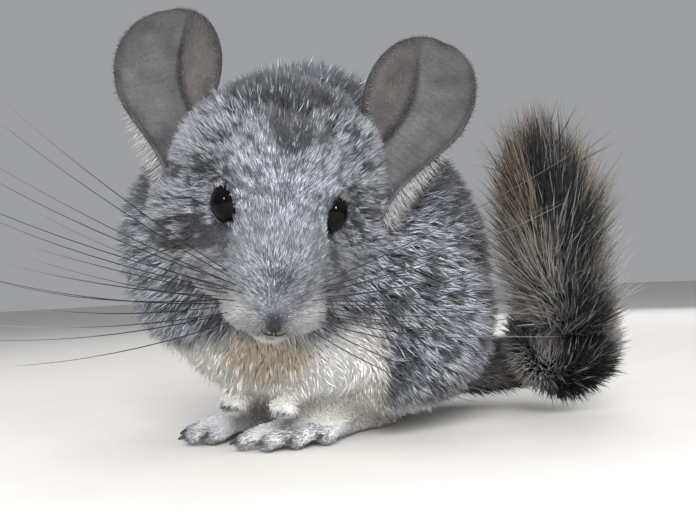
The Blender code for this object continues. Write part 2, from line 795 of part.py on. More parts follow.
def whole_parts():
    """Every part before it is cut clear of its neighbours, with the parts that it is cut clear of."""
    parts = {
        "nose": (make_nose(), ()),
        "head": (melt(forms("head", HEAD_FORMS, head_frame()), 1.2, 6, 780), ("nose", "whisker_pad")),
        "neck": (melt(forms("neck", NECK_FORMS), 2.0, 10, 190), ("head",)),
        "chest": (
            make_body("chest", -1.0), ("head", "neck", "foreleg", "forepaw", "shank", "hind")),
        "torso": (
            make_body("torso", 1.0), ("head", "neck", "foreleg", "thigh", "shank", "hind", "tail_base")),
        "tail_base": (tail_slice(tail_length("tail_base", 0.0, 0.34, (15.0, 13.3)), -1.0), ()),
        "tail_middle": (tail_slice(tail_length("tail_middle", 0.26, 0.50, (13.7, 13.0)), 1.0), ()),
        "tail_brush": (make_brush("tail_brush"), ("tail_middle",)),
    }
    for name, side in SIDES.items():
        pad_neighbours = ("nose",) if name == "left" else ("nose", "whisker_pad_left")
        parts["whisker_pad_" + name] = (make_whisker_pad("whisker_pad_" + name, side), pad_neighbours)
        parts["ear_" + name] = (make_ear("ear_" + name, *EARS[name]), ("head", "neck", "torso"))
        parts["thigh_" + name] = (
            make_thigh("thigh_" + name, side),
            ("head", "neck", "chest", "foreleg_" + name, "shank_" + name, "hind_foot_" + name, "tail_base"))
        parts["shank_" + name] = (make_shank("shank_" + name, side), ("hind_foot_" + name,))
        parts["hind_foot_" + name] = (make_foot("hind_foot_" + name, side), ())
        parts["foreleg_" + name] = (make_foreleg("foreleg_" + name, side), ("forepaw_" + name,))
        parts["forepaw_" + name] = (make_forepaw("forepaw_" + name, side), ())
    return parts


def build():
    """Make every part, cut each clear of its neighbours, and give it its finish."""
    for old in list(bpy.data.objects):
        bpy.data.objects.remove(old)
    parts = whole_parts()
    fine = {name: swollen(piece, GAP) for name, (piece, neighbours) in parts.items()}
    coarse = {name: swollen(piece, COARSE_GAP, True) for name, (piece, neighbours) in parts.items()}
    for name, (piece, neighbours) in parts.items():
        cutters = coarse if name.startswith(LARGE_PARTS) else fine
        for other in parts:
            if other != name and other.startswith(neighbours or ("-",)):
                apply_boolean(piece, "DIFFERENCE", object=cutters[other])
    for cutter in (*fine.values(), *coarse.values()):
        remove(cutter)
    pieces = {name: piece for name, (piece, neighbours) in parts.items()}
    add_mouth(pieces["head"])
    for name, side in SIDES.items():
        add_lids(pieces["head"], side)
        make_eye("eye_" + name, side)
        join_all(pieces["whisker_pad_" + name], whiskers(side))
        make_claws(name, pieces["hind_foot_" + name], pieces["forepaw_" + name])
    for name, piece in pieces.items():
        kind = next(FINISHES[start] for start in FINISHES if name.startswith(start))
        finish(piece, kind)


build()
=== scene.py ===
"""A standard grey chinchilla, life size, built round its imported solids: skin, coat, ears, eyes and whiskers.

Metres, +Z up. The animal faces -Y and its left side is +X. Sizes in millimetres are turned to metres by MM.
"""

import math

import bpy
import numpy as np
from mathutils import Matrix, Vector
from mathutils.kdtree import KDTree


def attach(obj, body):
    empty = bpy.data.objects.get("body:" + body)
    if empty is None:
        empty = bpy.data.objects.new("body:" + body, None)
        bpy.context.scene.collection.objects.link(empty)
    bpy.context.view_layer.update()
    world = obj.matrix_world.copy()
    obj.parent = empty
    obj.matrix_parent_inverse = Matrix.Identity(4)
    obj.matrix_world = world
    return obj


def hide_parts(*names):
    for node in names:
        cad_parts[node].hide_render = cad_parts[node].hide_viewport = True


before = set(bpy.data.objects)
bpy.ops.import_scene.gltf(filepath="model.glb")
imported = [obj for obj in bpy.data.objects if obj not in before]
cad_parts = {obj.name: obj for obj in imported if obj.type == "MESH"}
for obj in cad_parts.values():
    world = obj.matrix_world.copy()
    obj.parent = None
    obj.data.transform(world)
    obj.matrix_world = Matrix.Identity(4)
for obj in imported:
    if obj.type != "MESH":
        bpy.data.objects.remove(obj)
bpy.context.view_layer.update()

bl_info = {
    "name": "Chinchilla",
    "version": (1, 0, 0),
    "blender": (4, 5, 0),
    "location": "3D View > Sidebar > Chinchilla",
    "description": "Skin, coat, ears, eyes and whiskers of a grey chinchilla",
    "category": "Object",
}

MM = 0.001
BODY = "root"

# The head, as in the solids: its centre in millimetres, and how it is turned, in degrees
HEAD_CENTRE = (30.2, -73.8, 73.2)
HEAD_YAW = 49.5
HEAD_PITCH = 31.5
HEAD_ROLL = -9.0

# The face, in the head's own frame: forward, left and up from its centre
EYE_RADIUS = 6.3
EYE_CENTRE = (11.4, 12.4, 3.6)
EYE_LOOK = (0.58, 0.80, 0.10)
EYE_OPENING = (5.9, 6.05)
NOSE_TIP = (45.0, 0.0, -12.2)
NOSE_PAD = (44.3, 0.0, -13.1)
LOWER_LIP = (37.6, 0.0, -20.2)
NOSTRIL = ((45.4, 0.3, -14.6), (45.1, 1.0, -15.0), (44.7, 1.8, -15.1), (44.2, 2.6, -14.9), (43.8, 3.2, -14.4))
NOSTRIL_RADII = (0.40, 0.28, 0.22, 0.16, 0.05)
SIDES = {"left": 1.0, "right": -1.0}

# Places on the body that the coat's lie and colours are measured from, in millimetres
NAPE = (26.0, -74.0, 78.0)
TAIL_ROOT = (2.0, 22.0, 8.0)
KNEE = (33.0, -58.0, 24.0)
THROAT = (27.0, -78.0, 31.0)
FOREHEAD = (14.0, 0.5, 27.0)
CROWN = (-6.0, 0.0, 35.0)

# The balls that the forepaws' toes are made of, each of radius TOE_RADIUS, where the solids have their toes
TOE_RADIUS = 2.1
FORE_TOES = (
    (22.7, -71.3, 13.8), (24.6, -71.7, 13.8), (26.5, -71.6, 13.8), (28.4, -71.3, 13.8), (25.5, -69.0, 15.5),
    (4.7, -75.4, 14.8), (6.6, -75.8, 14.8), (8.5, -75.8, 14.8), (10.4, -75.4, 14.8), (6.0, -73.2, 16.2),
    (9.0, -73.2, 16.2), (6.0, -70.8, 17.6), (9.0, -70.8, 17.6),
)

# The tips of the hind feet's toes on the floor, where the hair is dark
HIND_TOE_TIPS = (
    (9.0, -76.5), (17.4, -73.5), (22.0, -66.0), (25.0, -56.5), (-7.0, -75.5), (-12.5, -80.0), (-20.5, -74.0),
    (-26.5, -64.0),
)

# Each ear: the middle of its base, its tip, and the way its cup faces
EARS = {
    "left": ((41.0, -48.0, 69.0), (58.5, -31.0, 119.0), (0.75, -0.66, 0.15)),
    "right": ((8.5, -88.0, 77.0), (1.5, -90.0, 132.5), (0.66, -0.75, 0.05)),
}
EAR_LENGTH = 57.0
EAR_HALF_ARC = 18.0
EAR_WIDEST = 0.56
EAR_THICKNESS = 1.1 * MM

TAIL_LINE = (
    (0.0, 12.0, 18.0), (8.0, 31.0, 15.5), (26.0, 42.0, 16.0), (44.0, 40.5, 20.5), (58.0, 30.0, 29.5),
    (65.5, 17.0, 43.0), (68.5, 8.0, 59.0), (69.0, 4.0, 74.0),
)
TAIL_STEPS = 60
TAIL_BAND_START = np.array((0.15, 0.25, -1.0))
TAIL_BAND_END = np.array((0.80, -0.60, -0.05))
BRUSH_START = 0.46
SHORTEST_TAIL_HAIR = 8.5

# The nodes whose surface the skin takes, with the coat's depth over each, in millimetres
FLESH_DEPTH = {
    "torso": 4.8, "chest": 4.8, "neck": 4.6, "head": 3.8, "thigh_left": 4.6, "thigh_right": 4.6,
    "shank_left": 1.6, "shank_right": 1.6, "hind_foot_left": 0.7, "hind_foot_right": 0.7,
    "foreleg_left": 3.0, "foreleg_right": 3.0, "forepaw_left": 0.7, "forepaw_right": 0.7,
    "tail_base": 6.5, "tail_middle": 7.0,
}
THIN_DEPTH = 0.5
PARTS = (*FLESH_DEPTH, "tail_brush")
HEAD_PART = PARTS.index("head")

# The skin is fused twice: before it is drawn in by the coat's depth, and after the forepaws' toes are added
FIRST_VOXEL = 1.4 * MM
SECOND_VOXEL = 1.15 * MM

# The coat: the most triangles in one piece, how its hair sways and is pulled into clumps, the corners of a
# lock, the side of its patch of the bake map, and the lowest that hair may come, in millimetres
MOST_TRIANGLES = 190000
SWAY = 0.12
CLUMP_PULL = 0.14
LOCK_CORNERS = 3
LOCK_PATCH = 0.003
LOWEST_HAIR = 0.35

# The photo's camera, in pixels, metres and degrees
FOCAL_PIXELS = 850.0
PHOTO_WIDTH = 696.0
SENSOR_WIDTH = 36.0
CAMERA_PLACE = (0.2135, -0.230, 0.049)
CAMERA_PITCH = 1.5
CAMERA_TILT = 2.6

# Each light: its name, its place and size in metres, and its power in watts
LIGHT_AIM = (0.02, -0.04, 0.06)
LIGHTS = (
    ("key_light", (0.48, -0.50, 0.36), 0.30, 7.3),
    ("fill_light", (-0.40, -0.60, 0.30), 0.5, 2.8),
    ("side_light", (0.62, 0.02, 0.28), 0.5, 2.6),
    ("top_light", (0.0, 0.15, 0.75), 0.6, 0.9),
    ("back_light", (-0.25, 0.65, 0.40), 0.6, 2.4),
)
CATCH_LIGHTS = (
    ("catch_light_front", (0.08, -0.42, 0.17), 0.03, 0.25),
    ("catch_light_side", (0.30, -0.02, 0.14), 0.03, 0.25),
)


def coat_colour(name, description, default):
    """A colour of the coat, as the panel shows it."""
    return bpy.props.FloatVectorProperty(
        name=name, description=description, default=default, size=3, min=0.0, max=1.0, subtype="COLOR_GAMMA")


def coat_size(name, description, default):
    """A length of the coat, given in millimetres and kept in metres."""
    return bpy.props.FloatProperty(
        name=name, description=description, default=default * MM, min=0.0, soft_max=0.1, unit="LENGTH",
        precision=4)


class CHINCHILLA_PG_settings(bpy.types.PropertyGroup):
    """Sizes and colours that a user would change."""

    body_hair: coat_size("Body hair", "Length of a lock on the back and sides", 7.0)
    face_hair: coat_size("Face hair", "Length of a lock on the bridge of the nose", 2.6)
    chest_hair: coat_size("Chest hair", "Length of a lock on the chest", 6.8)
    brush_hair: coat_size("Brush hair", "Length of the longest hair of the tail", 31.0)
    undercoat: coat_colour("Undercoat", "Dark root of every grey hair", (0.17, 0.18, 0.21))
    band: coat_colour("Band", "Light band near the tip of a grey hair", (0.76, 0.78, 0.82))
    veil: coat_colour("Veil", "Dark tip of the hair on the back and crown", (0.22, 0.23, 0.26))
    belly: coat_colour("Belly", "White of the chest and belly", (0.93, 0.915, 0.895))
    brush_dark: coat_colour("Brush dark", "Black of the tail's band and tip", (0.03, 0.03, 0.03))
    brush_light: coat_colour("Brush light", "Grey of the tail's sides", (0.56, 0.55, 0.54))
    fringe: coat_colour("Fringe", "Brown ends of the tail's hair", (0.52, 0.45, 0.37))
    ear_skin: coat_colour("Ear skin", "Velvety skin of the ears", (0.33, 0.33, 0.335))
    foot: coat_colour("Foot", "Whitish hair of the feet", (0.92, 0.92, 0.93))


def settings():
    """The sizes and colours that the panel shows."""
    return bpy.context.scene.chinchilla


def linear(colour):
    """A colour as a display shows it, as linear light."""
    value = np.asarray(colour, float)
    return np.where(value <= 0.04045, value / 12.92, ((value + 0.055) / 1.055) ** 2.4)


def mix(first, second, share):
    """A mix of two rows of colours, or of one colour with a row."""
    share = np.asarray(share)[..., None]
    return first * (1.0 - share) + second * share


class Wire:
    """An output of a material's node, on which maths is written as expressions."""

    def __init__(self, tree, socket=None):
        self.tree = tree
        self.socket = socket

    def node(self, kind, settings=None, values=None, output=0):
        """Add a node: its settings first, then the values or links of its sockets. Gives one output."""
        made = self.tree.nodes.new(kind)
        for name, value in (settings or {}).items():
            setattr(made, name, value)
        for name, value in (values or {}).items():
            plug = made.inputs[name]
            if isinstance(value, Wire):
                self.tree.links.new(value.socket, plug)
            else:
                plug.default_value = value
        return Wire(self.tree, made.outputs[output])

    def maths(self, operation, first, second):
        """Maths on two numbers or outputs."""
        return self.node("ShaderNodeMath", {"operation": operation}, {0: first, 1: second})

    def __add__(self, other):
        return self.maths("ADD", self, other)

    def __radd__(self, other):
        return self.maths("ADD", other, self)

    def __sub__(self, other):
        return self.maths("SUBTRACT", self, other)

    def __rsub__(self, other):
        return self.maths("SUBTRACT", other, self)

    def __mul__(self, other):
        return self.maths("MULTIPLY", self, other)

    def __rmul__(self, other):
        return self.maths("MULTIPLY", other, self)

    def __lt__(self, other):
        return self.maths("LESS_THAN", self, other)

    def __gt__(self, other):
        return self.maths("GREATER_THAN", self, other)

    def tint(self, first, second, factor):
        """A mix of two colours."""
        return self.node(
            "ShaderNodeMix", {"data_type": "RGBA"}, {"Factor": factor, 6: first, 7: second}, 2)

    def noise(self, scale, detail=3.0):
        """Noise of a scale on the object's own coordinates."""
        place = self.node("ShaderNodeTexCoord", output="Object")
        return self.node(
            "ShaderNodeTexNoise", {}, {"Vector": place, "Scale": scale, "Detail": detail, "Roughness": 0.55})

    def attribute(self, name, output="Color"):
        """What a mesh stores at its points under a name."""
        return self.node("ShaderNodeAttribute", {"attribute_name": name}, {}, output)

    def own_colour(self, share):
        """The colour stored at each point, darkened to a share of itself."""
        return self.tint((0.0, 0.0, 0.0, 1.0), self.attribute("coat_colour"), share)

    def bump(self, strength, distance):
        """A relief whose height is this output."""
        return self.node("ShaderNodeBump", {}, {"Strength": strength, "Distance": distance, "Height": self})


def material(name, build):
    """A Principled material whose varying sockets come from a function, made when it is first asked for."""
    made = bpy.data.materials.get(name)
    if made:
        return made
    made = bpy.data.materials.new(name)
    made.use_nodes = True
    tree = made.node_tree
    shader = tree.nodes["Principled BSDF"]
    for socket, value in build(Wire(tree)).items():
        if isinstance(value, Wire):
            tree.links.new(value.socket, shader.inputs[socket])
        else:
            shader.inputs[socket].default_value = value
    return made


def hair_material(wire):
    """Hair that takes its colour from the coat's own colour attribute."""
    shade = wire.own_colour(0.86 + wire.noise(900.0, 2.0) * 0.28)
    return {"Base Color": shade, "Roughness": 0.62, "Specular IOR Level": 0.28, "Sheen Weight": 0.10}


def skin_material(wire):
    """The skin under the coat, in the coat's own markings, with a fine nap."""
    grain = wire.noise(1500.0)
    return {
        "Base Color": wire.own_colour(0.75 + grain * 0.4), "Roughness": 0.85, "Specular IOR Level": 0.2,
        "Normal": grain.bump(0.5, 0.6 * MM)}


def ear_material(wire):
    """Thin velvety skin: marks from an attribute, fine pores, and ribs on the side away from the head."""
    pores = wire.noise(2200.0)
    blotches = wire.noise(160.0, 2.0)
    chart = wire.node("ShaderNodeUVMap", {"uv_map": "ear_map"})
    ribs = wire.node(
        "ShaderNodeTexWave", {"wave_type": "BANDS", "bands_direction": "Y"},
        {"Vector": chart, "Scale": 13.0, "Distortion": 2.5, "Detail": 1.0, "Detail Scale": 2.0}, 1)
    ribs = ribs * (wire.attribute("inward", "Fac") < 0.2)
    relief = pores * 0.6 + blotches * 0.5 + ribs * 0.4
    return {
        "Base Color": wire.own_colour(0.74 + blotches * 0.30 + pores * 0.16 + ribs * 0.07), "Roughness": 0.7,
        "Specular IOR Level": 0.2, "Subsurface Weight": 0.1, "Subsurface Radius": (0.002, 0.0015, 0.0012),
        "Subsurface Scale": 0.5, "Normal": relief.bump(0.6, 0.4 * MM)}


def eye_material(wire):
    """A wet, nearly black eye with a dark brown iris."""
    return {
        "Base Color": wire.own_colour(0.7 + wire.noise(700.0, 2.0) * 0.5), "Roughness": 0.06,
        "Specular IOR Level": 0.11}


def speckle(wire, scale, dark, light, strength, distance):
    """Fine grain between two colours, with its relief. Gives the grain and the sockets that it feeds."""
    grain = wire.noise(scale)
    shade = wire.tint((*dark, 1.0), (*light, 1.0), grain)
    return grain, {"Base Color": shade, "Normal": grain.bump(strength, distance)}


def lid_material(wire):
    """The dark bare rim of an eye or the damp skin of the nose."""
    pores, sockets = speckle(wire, 2600.0, (0.006, 0.005, 0.006), (0.040, 0.034, 0.034), 0.6, 0.3 * MM)
    return {**sockets, "Roughness": 0.50 + pores * 0.2, "Specular IOR Level": 0.25}


def lip_material(wire):
    """The pinkish skin of the lips."""
    sockets = speckle(wire, 1800.0, (0.26, 0.16, 0.14), (0.40, 0.28, 0.25), 0.4, 0.3 * MM)[1]
    return {**sockets, "Roughness": 0.5}


def claw_material(wire):
    """Dull horn, darker and lighter along its length."""
    streaks, sockets = speckle(wire, 900.0, (0.022, 0.020, 0.020), (0.09, 0.08, 0.078), 0.3, 0.2 * MM)
    return {**sockets, "Roughness": 0.35 + streaks * 0.2}


def floor_material(wire):
    """A plain pale floor with a faint grain."""
    shade = wire.tint((0.66, 0.64, 0.61, 1.0), (0.72, 0.70, 0.67, 1.0), wire.noise(40.0, 4.0))
    return {"Base Color": shade, "Roughness": 0.8}


def lattice_value(cell, seed):
    """A number from 0 to 1 for each whole-numbered point, the same on each run."""
    x, y, z = (cell[:, axis].astype(np.int64) for axis in range(3))
    mixed = (x * 73856093) ^ (y * 19349663) ^ (z * 83492791) ^ (seed * 2654435761)
    mixed = (mixed ^ (mixed >> 13)) * 1274126177 & 0xFFFFFFFF
    mixed = (mixed ^ (mixed >> 16)) & 0xFFFFFFFF
    return mixed / 4294967295.0


def smooth_noise(points, seed=0):
    """Smooth noise from 0 to 1 at points whose cells are one unit wide."""
    low = np.floor(points)
    share = points - low
    share = share * share * (3.0 - 2.0 * share)
    total = np.zeros(len(points))
    for corner in range(8):
        step = np.array([(corner >> axis) & 1 for axis in range(3)])
        weight = np.prod(np.where(step, share, 1.0 - share), axis=1)
        total += weight * lattice_value(low + step, seed)
    return total


def noise_vectors(points, seed):
    """Smooth noise from -0.5 to 0.5 along each axis."""
    return np.stack([smooth_noise(points, seed + axis) - 0.5 for axis in range(3)], axis=1)


def rise(low, high, value):
    """A smooth rise from 0 to 1 between two values."""
    share = np.clip((value - low) / (high - low), 0.0, 1.0)
    return share * share * (3.0 - 2.0 * share)


def unit(vectors):
    """Vectors of length one."""
    return vectors / np.maximum(np.linalg.norm(vectors, axis=-1, keepdims=True), 1e-9)


def flattened(vectors, normals):
    """Vectors without their part along the normals."""
    return vectors - normals * np.sum(vectors * normals, axis=1, keepdims=True)


def blob(points, centre, radii):
    """A soft spot: 1 at its centre and 0 past its radii."""
    away = np.linalg.norm((points - np.array(centre)) / np.array(radii), axis=1)
    return 1.0 - rise(0.35, 1.0, away)


def axes_matrix(across, up, out, centre):
    """The matrix of a frame from its three axes and its centre."""
    return Matrix.Translation(Vector(centre)) @ Matrix((across, up, out)).transposed().to_4x4()


def placed(points, matrix):
    """Points of a frame, in the world's."""
    return points @ matrix[:3, :3].T + matrix[:3, 3]


def within(points, matrix):
    """World points, in a frame that is only turned and moved."""
    return (points - matrix[:3, 3]) @ matrix[:3, :3]


def head_matrix():
    """The matrix from the head's own frame to the world's, both in millimetres."""
    yaw = math.radians(HEAD_YAW)
    pitch = math.radians(HEAD_PITCH)
    ahead = Vector((math.sin(yaw) * math.cos(pitch), -math.cos(yaw) * math.cos(pitch), -math.sin(pitch)))
    up = Vector((math.sin(yaw) * math.sin(pitch), -math.cos(yaw) * math.sin(pitch), math.cos(pitch)))
    up = Matrix.Rotation(math.radians(HEAD_ROLL), 3, ahead) @ up
    return axes_matrix(ahead, up.cross(ahead), up, HEAD_CENTRE)


HEAD = head_matrix()
HEAD_BACK = np.array(HEAD.inverted())
HEAD_TURN = np.array(HEAD.to_3x3())


def to_head(points):
    """World points in millimetres, in the head's own frame."""
    return placed(points, HEAD_BACK)


def from_head(points):
    """Points of the head's own frame, in the world's, both in millimetres."""
    return points @ HEAD_TURN.T + np.array(HEAD_CENTRE)


def beside_eye(sign, ahead=0.0, aside=0.0):
    """A place in the head's frame, so far ahead of and outside the middle of an eye."""
    return (EYE_CENTRE[0] + ahead, sign * (EYE_CENTRE[1] + aside), EYE_CENTRE[2])


def eye_matrix(sign):
    """The frame of one eye: Z looks out, in millimetres."""
    turn = HEAD.to_3x3()
    look = (turn @ Vector((EYE_LOOK[0], sign * EYE_LOOK[1], EYE_LOOK[2]))).normalized()
    up = turn @ Vector((0.0, 0.0, 1.0))
    up = (up - look * up.dot(look)).normalized()
    return axes_matrix(up.cross(look), up, look, HEAD @ Vector(beside_eye(sign)))


EYE_FRAMES = {side: np.array(eye_matrix(sign)) for side, sign in SIDES.items()}


def opening_share(local):
    """How far points in an eye's own frame are out from its look: 1 is on the rim of its opening."""
    behind = 3.0 * (local[:, 2] < -1.0)
    return np.hypot(local[:, 0] / EYE_OPENING[0], local[:, 1] / EYE_OPENING[1]) + behind


def eye_opening(points):
    """How far each point in millimetres is out from the nearer eye's opening: 1 is on its rim."""
    out = np.full(len(points), 9.0)
    for matrix in EYE_FRAMES.values():
        local = within(points, matrix)
        near = np.linalg.norm(local, axis=1) < 12.0
        out = np.where(near, np.minimum(out, opening_share(local)), out)
    return out


def tail_point(along):
    """A point on the tail's middle line, at a share of its length."""
    count = len(TAIL_LINE) - 1
    scaled = min(max(along, 0.0), 1.0) * count
    index = min(int(scaled), count - 1)
    t = scaled - index
    before, start, end, after = (
        Vector(TAIL_LINE[min(max(index + step, 0), count)]) for step in (-1, 0, 1, 2))
    return 0.5 * (
        2.0 * start + (end - before) * t + (2.0 * before - 5.0 * start + 4.0 * end - after) * t ** 2
        + (3.0 * start - before - 3.0 * end + after) * t ** 3)


TAIL = np.array([tail_point(step / TAIL_STEPS)[:] for step in range(TAIL_STEPS + 1)])
TAIL_HEADING = unit(np.gradient(TAIL, axis=0))


def along_tail(points):
    """For points near the tail: the share of its length, the heading there, and the way out from the bone."""
    nearest = np.zeros(len(points), int)
    best = np.full(len(points), 1e9)
    for step, place in enumerate(TAIL):
        away = np.linalg.norm(points - place, axis=1)
        nearer = away < best
        best[nearer] = away[nearer]
        nearest[nearer] = step
    heading = TAIL_HEADING[nearest]
    return nearest / TAIL_STEPS, heading, unit(flattened(points - TAIL[nearest], heading))


def tail_band(share, out):
    """How much of the black band each point of the tail has, from 0 to 1."""
    turn = rise(0.35, 0.75, share)[:, None]
    middle = unit(TAIL_BAND_START * (1.0 - turn) + TAIL_BAND_END * turn)
    return rise(0.55, 0.9, np.sum(middle * out, axis=1))


def select_only(*pieces):
    """Select some objects and make the first of them the active one."""
    bpy.ops.object.select_all(action="DESELECT")
    for piece in pieces:
        piece.select_set(True)
    bpy.context.view_layer.objects.active = pieces[0]


def join(*pieces):
    """Join meshes into the first of them."""
    select_only(*pieces)
    bpy.ops.object.join()


def apply_modifier(piece, kind, **settings):
    """Add a modifier with its settings and apply it."""
    select_only(piece)
    step = piece.modifiers.new(kind.title(), kind)
    for name, value in settings.items():
        setattr(step, name, value)
    bpy.ops.object.modifier_apply(modifier=step.name)


def fuse(piece, voxel, rounds):
    """Fuse all that a mesh holds into one surface, and smooth it."""
    apply_modifier(piece, "REMESH", mode="VOXEL", voxel_size=voxel)
    apply_modifier(piece, "SMOOTH", factor=0.5, iterations=rounds)


def edit_all(piece, operator, **choices):
    """Run an operator of edit mode on the whole of a mesh."""
    select_only(piece)
    bpy.ops.object.mode_set(mode="EDIT")
    bpy.ops.mesh.select_all(action="SELECT")
    operator(**choices)
    bpy.ops.object.mode_set(mode="OBJECT")


def face_out(piece):
    """Turn a mesh's faces outwards."""
    edit_all(piece, bpy.ops.mesh.normals_make_consistent, inside=False)


def apply_place(piece):
    """Put an object's place into its mesh."""
    select_only(piece)
    bpy.ops.object.transform_apply(location=True, rotation=True, scale=True)


def read_all(items, key, width, kind=np.float32):
    """One value of all the items of a mesh, as rows of so many numbers."""
    values = np.empty(len(items) * width, kind)
    items.foreach_get(key, values)
    return values.reshape(-1, width)


def points_of(mesh):
    """A mesh's points, as rows of three numbers."""
    return read_all(mesh.vertices, "co", 3).astype(float)


def normals_of(mesh):
    """The normals at a mesh's points."""
    return read_all(mesh.vertex_normals, "vector", 3).astype(float)


def edges_of(mesh):
    """The two points of each edge."""
    return read_all(mesh.edges, "vertices", 2, np.int32)


def move_points(mesh, places):
    """Give a mesh new places for its points."""
    mesh.vertices.foreach_set("co", places.astype(np.float32).ravel())
    mesh.update()


def spread(values, ends, rounds):
    """Average values over the mesh's edges, so that they change smoothly."""
    shape = values.shape
    values = values.astype(float).reshape(shape[0], -1)
    count = len(values)
    degree = np.bincount(ends.ravel(), minlength=count)[:, None] + 1.0
    for _ in range(rounds):
        total = values.copy()
        for column in range(values.shape[1]):
            total[:, column] += np.bincount(ends[:, 0], values[ends[:, 1], column], count)
            total[:, column] += np.bincount(ends[:, 1], values[ends[:, 0], column], count)
        values = total / degree
    return values.reshape(shape)


def colour_points(mesh, colours):
    """Store a linear colour at each point."""
    layer = mesh.color_attributes.new("coat_colour", "FLOAT_COLOR", "POINT")
    whole = np.ones((len(mesh.vertices), 4), np.float32)
    whole[:, :3] = colours
    layer.data.foreach_set("color", whole.ravel())


def search_tree(points):
    """A tree that finds the nearest of some points."""
    tree = KDTree(len(points))
    for index, point in enumerate(points):
        tree.insert(point, index)
    tree.balance()
    return tree


def add_object(name, data):
    """A new object of the scene that holds some data."""
    piece = bpy.data.objects.new(name, data)
    bpy.context.scene.collection.objects.link(piece)
    return piece


def add_primitive(name, operator, **sizes):
    """A new mesh object from one of the primitives."""
    bpy.ops.object.select_all(action="DESELECT")
    operator(**sizes)
    piece = bpy.context.active_object
    piece.name = name
    return piece


def add_ball(name, centre, radii, segments=32, rings=16):
    """A ball in the head's frame, with its radii in millimetres."""
    piece = add_primitive(
        name, bpy.ops.mesh.primitive_uv_sphere_add, segments=segments, ring_count=rings, radius=1.0)
    piece.scale = Vector(radii) * MM
    apply_place(piece)
    matrix = HEAD @ Matrix.Translation(Vector(centre))
    matrix.translation = matrix.translation * MM
    piece.matrix_world = matrix
    apply_place(piece)
    return piece


def add_tube(name, path, radii, roundness):
    """A closed tube along places in millimetres, with its radius in millimetres at each."""
    curve = bpy.data.curves.new(name, "CURVE")
    curve.dimensions = "3D"
    curve.bevel_depth = MM
    curve.bevel_resolution = roundness
    curve.use_fill_caps = True
    spline = curve.splines.new("POLY")
    spline.points.add(len(path) - 1)
    for point, place, radius in zip(spline.points, path, radii):
        point.co = (*(place * MM), 1.0)
        point.radius = radius
    select_only(add_object(name, curve))
    bpy.ops.object.convert(target="MESH")
    return bpy.context.active_object


def finish_piece(piece, slot, finish, build, *replaced):
    """Give a piece its material and its body, and hide the nodes that it stands for. The slot is not used."""
    piece.data.materials.clear()
    piece.data.materials.append(material(finish, build))
    piece.data.shade_smooth()
    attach(piece, BODY)
    if replaced:
        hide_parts(*replaced)


def unwrap(piece):
    """Unwrap a piece's own shape into the map that the bake uses."""
    piece.data.uv_layers.new(name="OFBake")
    edit_all(piece, bpy.ops.uv.smart_project, angle_limit=math.radians(66.0), island_margin=0.002)


def nearest_parts(points):
    """The number in PARTS of the part that each point lies nearest to."""
    groups = []
    for name in FLESH_DEPTH:
        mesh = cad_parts[name].data
        own = points_of(mesh)
        mesh.calc_loop_triangles()
        middles = np.array([own[list(face.vertices)].mean(0) for face in mesh.loop_triangles])
        groups.append(np.vstack((own, middles)))
    groups.append(TAIL[int(BRUSH_START * TAIL_STEPS):] * MM)
    owner = np.repeat(np.arange(len(groups)), [len(own) for own in groups])
    tree = search_tree(np.vstack(groups))
    return np.array([owner[tree.find(place)[1]] for place in points])


def coat_depth(parts, points):
    """The depth of the coat at each point of the solids, in millimetres."""
    depth = np.array([FLESH_DEPTH.get(name, THIN_DEPTH) for name in PARTS])[parts]
    head = to_head(points / MM)
    face = 4.0 - 2.8 * rise(4.0, 26.0, head[:, 0])
    for sign in SIDES.values():
        face = face * (1.0 - 0.85 * blob(head, beside_eye(sign, 3.0, 4.0), (13.0, 13.0, 13.0)))
    depth = np.where(parts == HEAD_PART, face, depth)
    share = along_tail(points / MM)[0]
    tail = parts >= PARTS.index("tail_base")
    return np.where(tail & (share > 0.44), THIN_DEPTH, depth)


def tail_core(name):
    """The tail's bone and underfur inside its brush, as a tapered tube."""
    steps = 24
    path = [tail_point(0.42 + 0.58 * step / steps) for step in range(steps + 1)]
    return add_tube(name, path, [7.5 - 4.2 * step / steps for step in range(steps + 1)], 4)


def make_skin_mesh():
    """The skin: the flesh nodes fused, smoothed and drawn in by the coat's depth."""
    copies = []
    for name in FLESH_DEPTH:
        copy = add_object("skin_" + name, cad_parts[name].data.copy())
        edit_all(copy, bpy.ops.mesh.remove_doubles, threshold=0.01 * MM)
        face_out(copy)
        apply_modifier(copy, "DISPLACE", strength=0.5 * MM, mid_level=0.0)
        copies.append(copy)
    for sign in SIDES.values():
        copies.append(add_ball("skin_pad", (33.0, sign * 7.0, -13.6), (9.4, 7.2, 7.0)))
        copies.append(add_ball("skin_orbit", beside_eye(sign), (7.5, 7.5, 7.5)))
        copies.append(add_ball("skin_lip", (39.8, sign * 2.9, -16.8), (3.8, 3.4, 3.0)))
    copies.append(add_ball("skin_nose", (42.6, 0.0, -12.4), (3.4, 4.6, 3.6)))
    copies.append(add_ball("skin_chin", (33.5, 0.0, -21.0), (6.2, 5.6, 3.8)))
    copies.append(tail_core("skin_tail"))
    join(*copies)
    skin = copies[0]
    skin.name = "skin"
    fuse(skin, FIRST_VOXEL, 4)
    points = points_of(skin.data)
    depth = spread(coat_depth(nearest_parts(points), points), edges_of(skin.data), 12)
    drawn = points - normals_of(skin.data) * depth[:, None] * MM
    drawn[:, 2] = np.maximum(drawn[:, 2], 0.1 * MM)
    move_points(skin.data, drawn)
    toes = [add_ball("skin_toe", to_head(np.array([toe]))[0], [TOE_RADIUS] * 3) for toe in FORE_TOES]
    join(skin, *toes)
    fuse(skin, SECOND_VOXEL, 3)
    keep_largest(skin)
    seat_eyes(skin)
    return skin


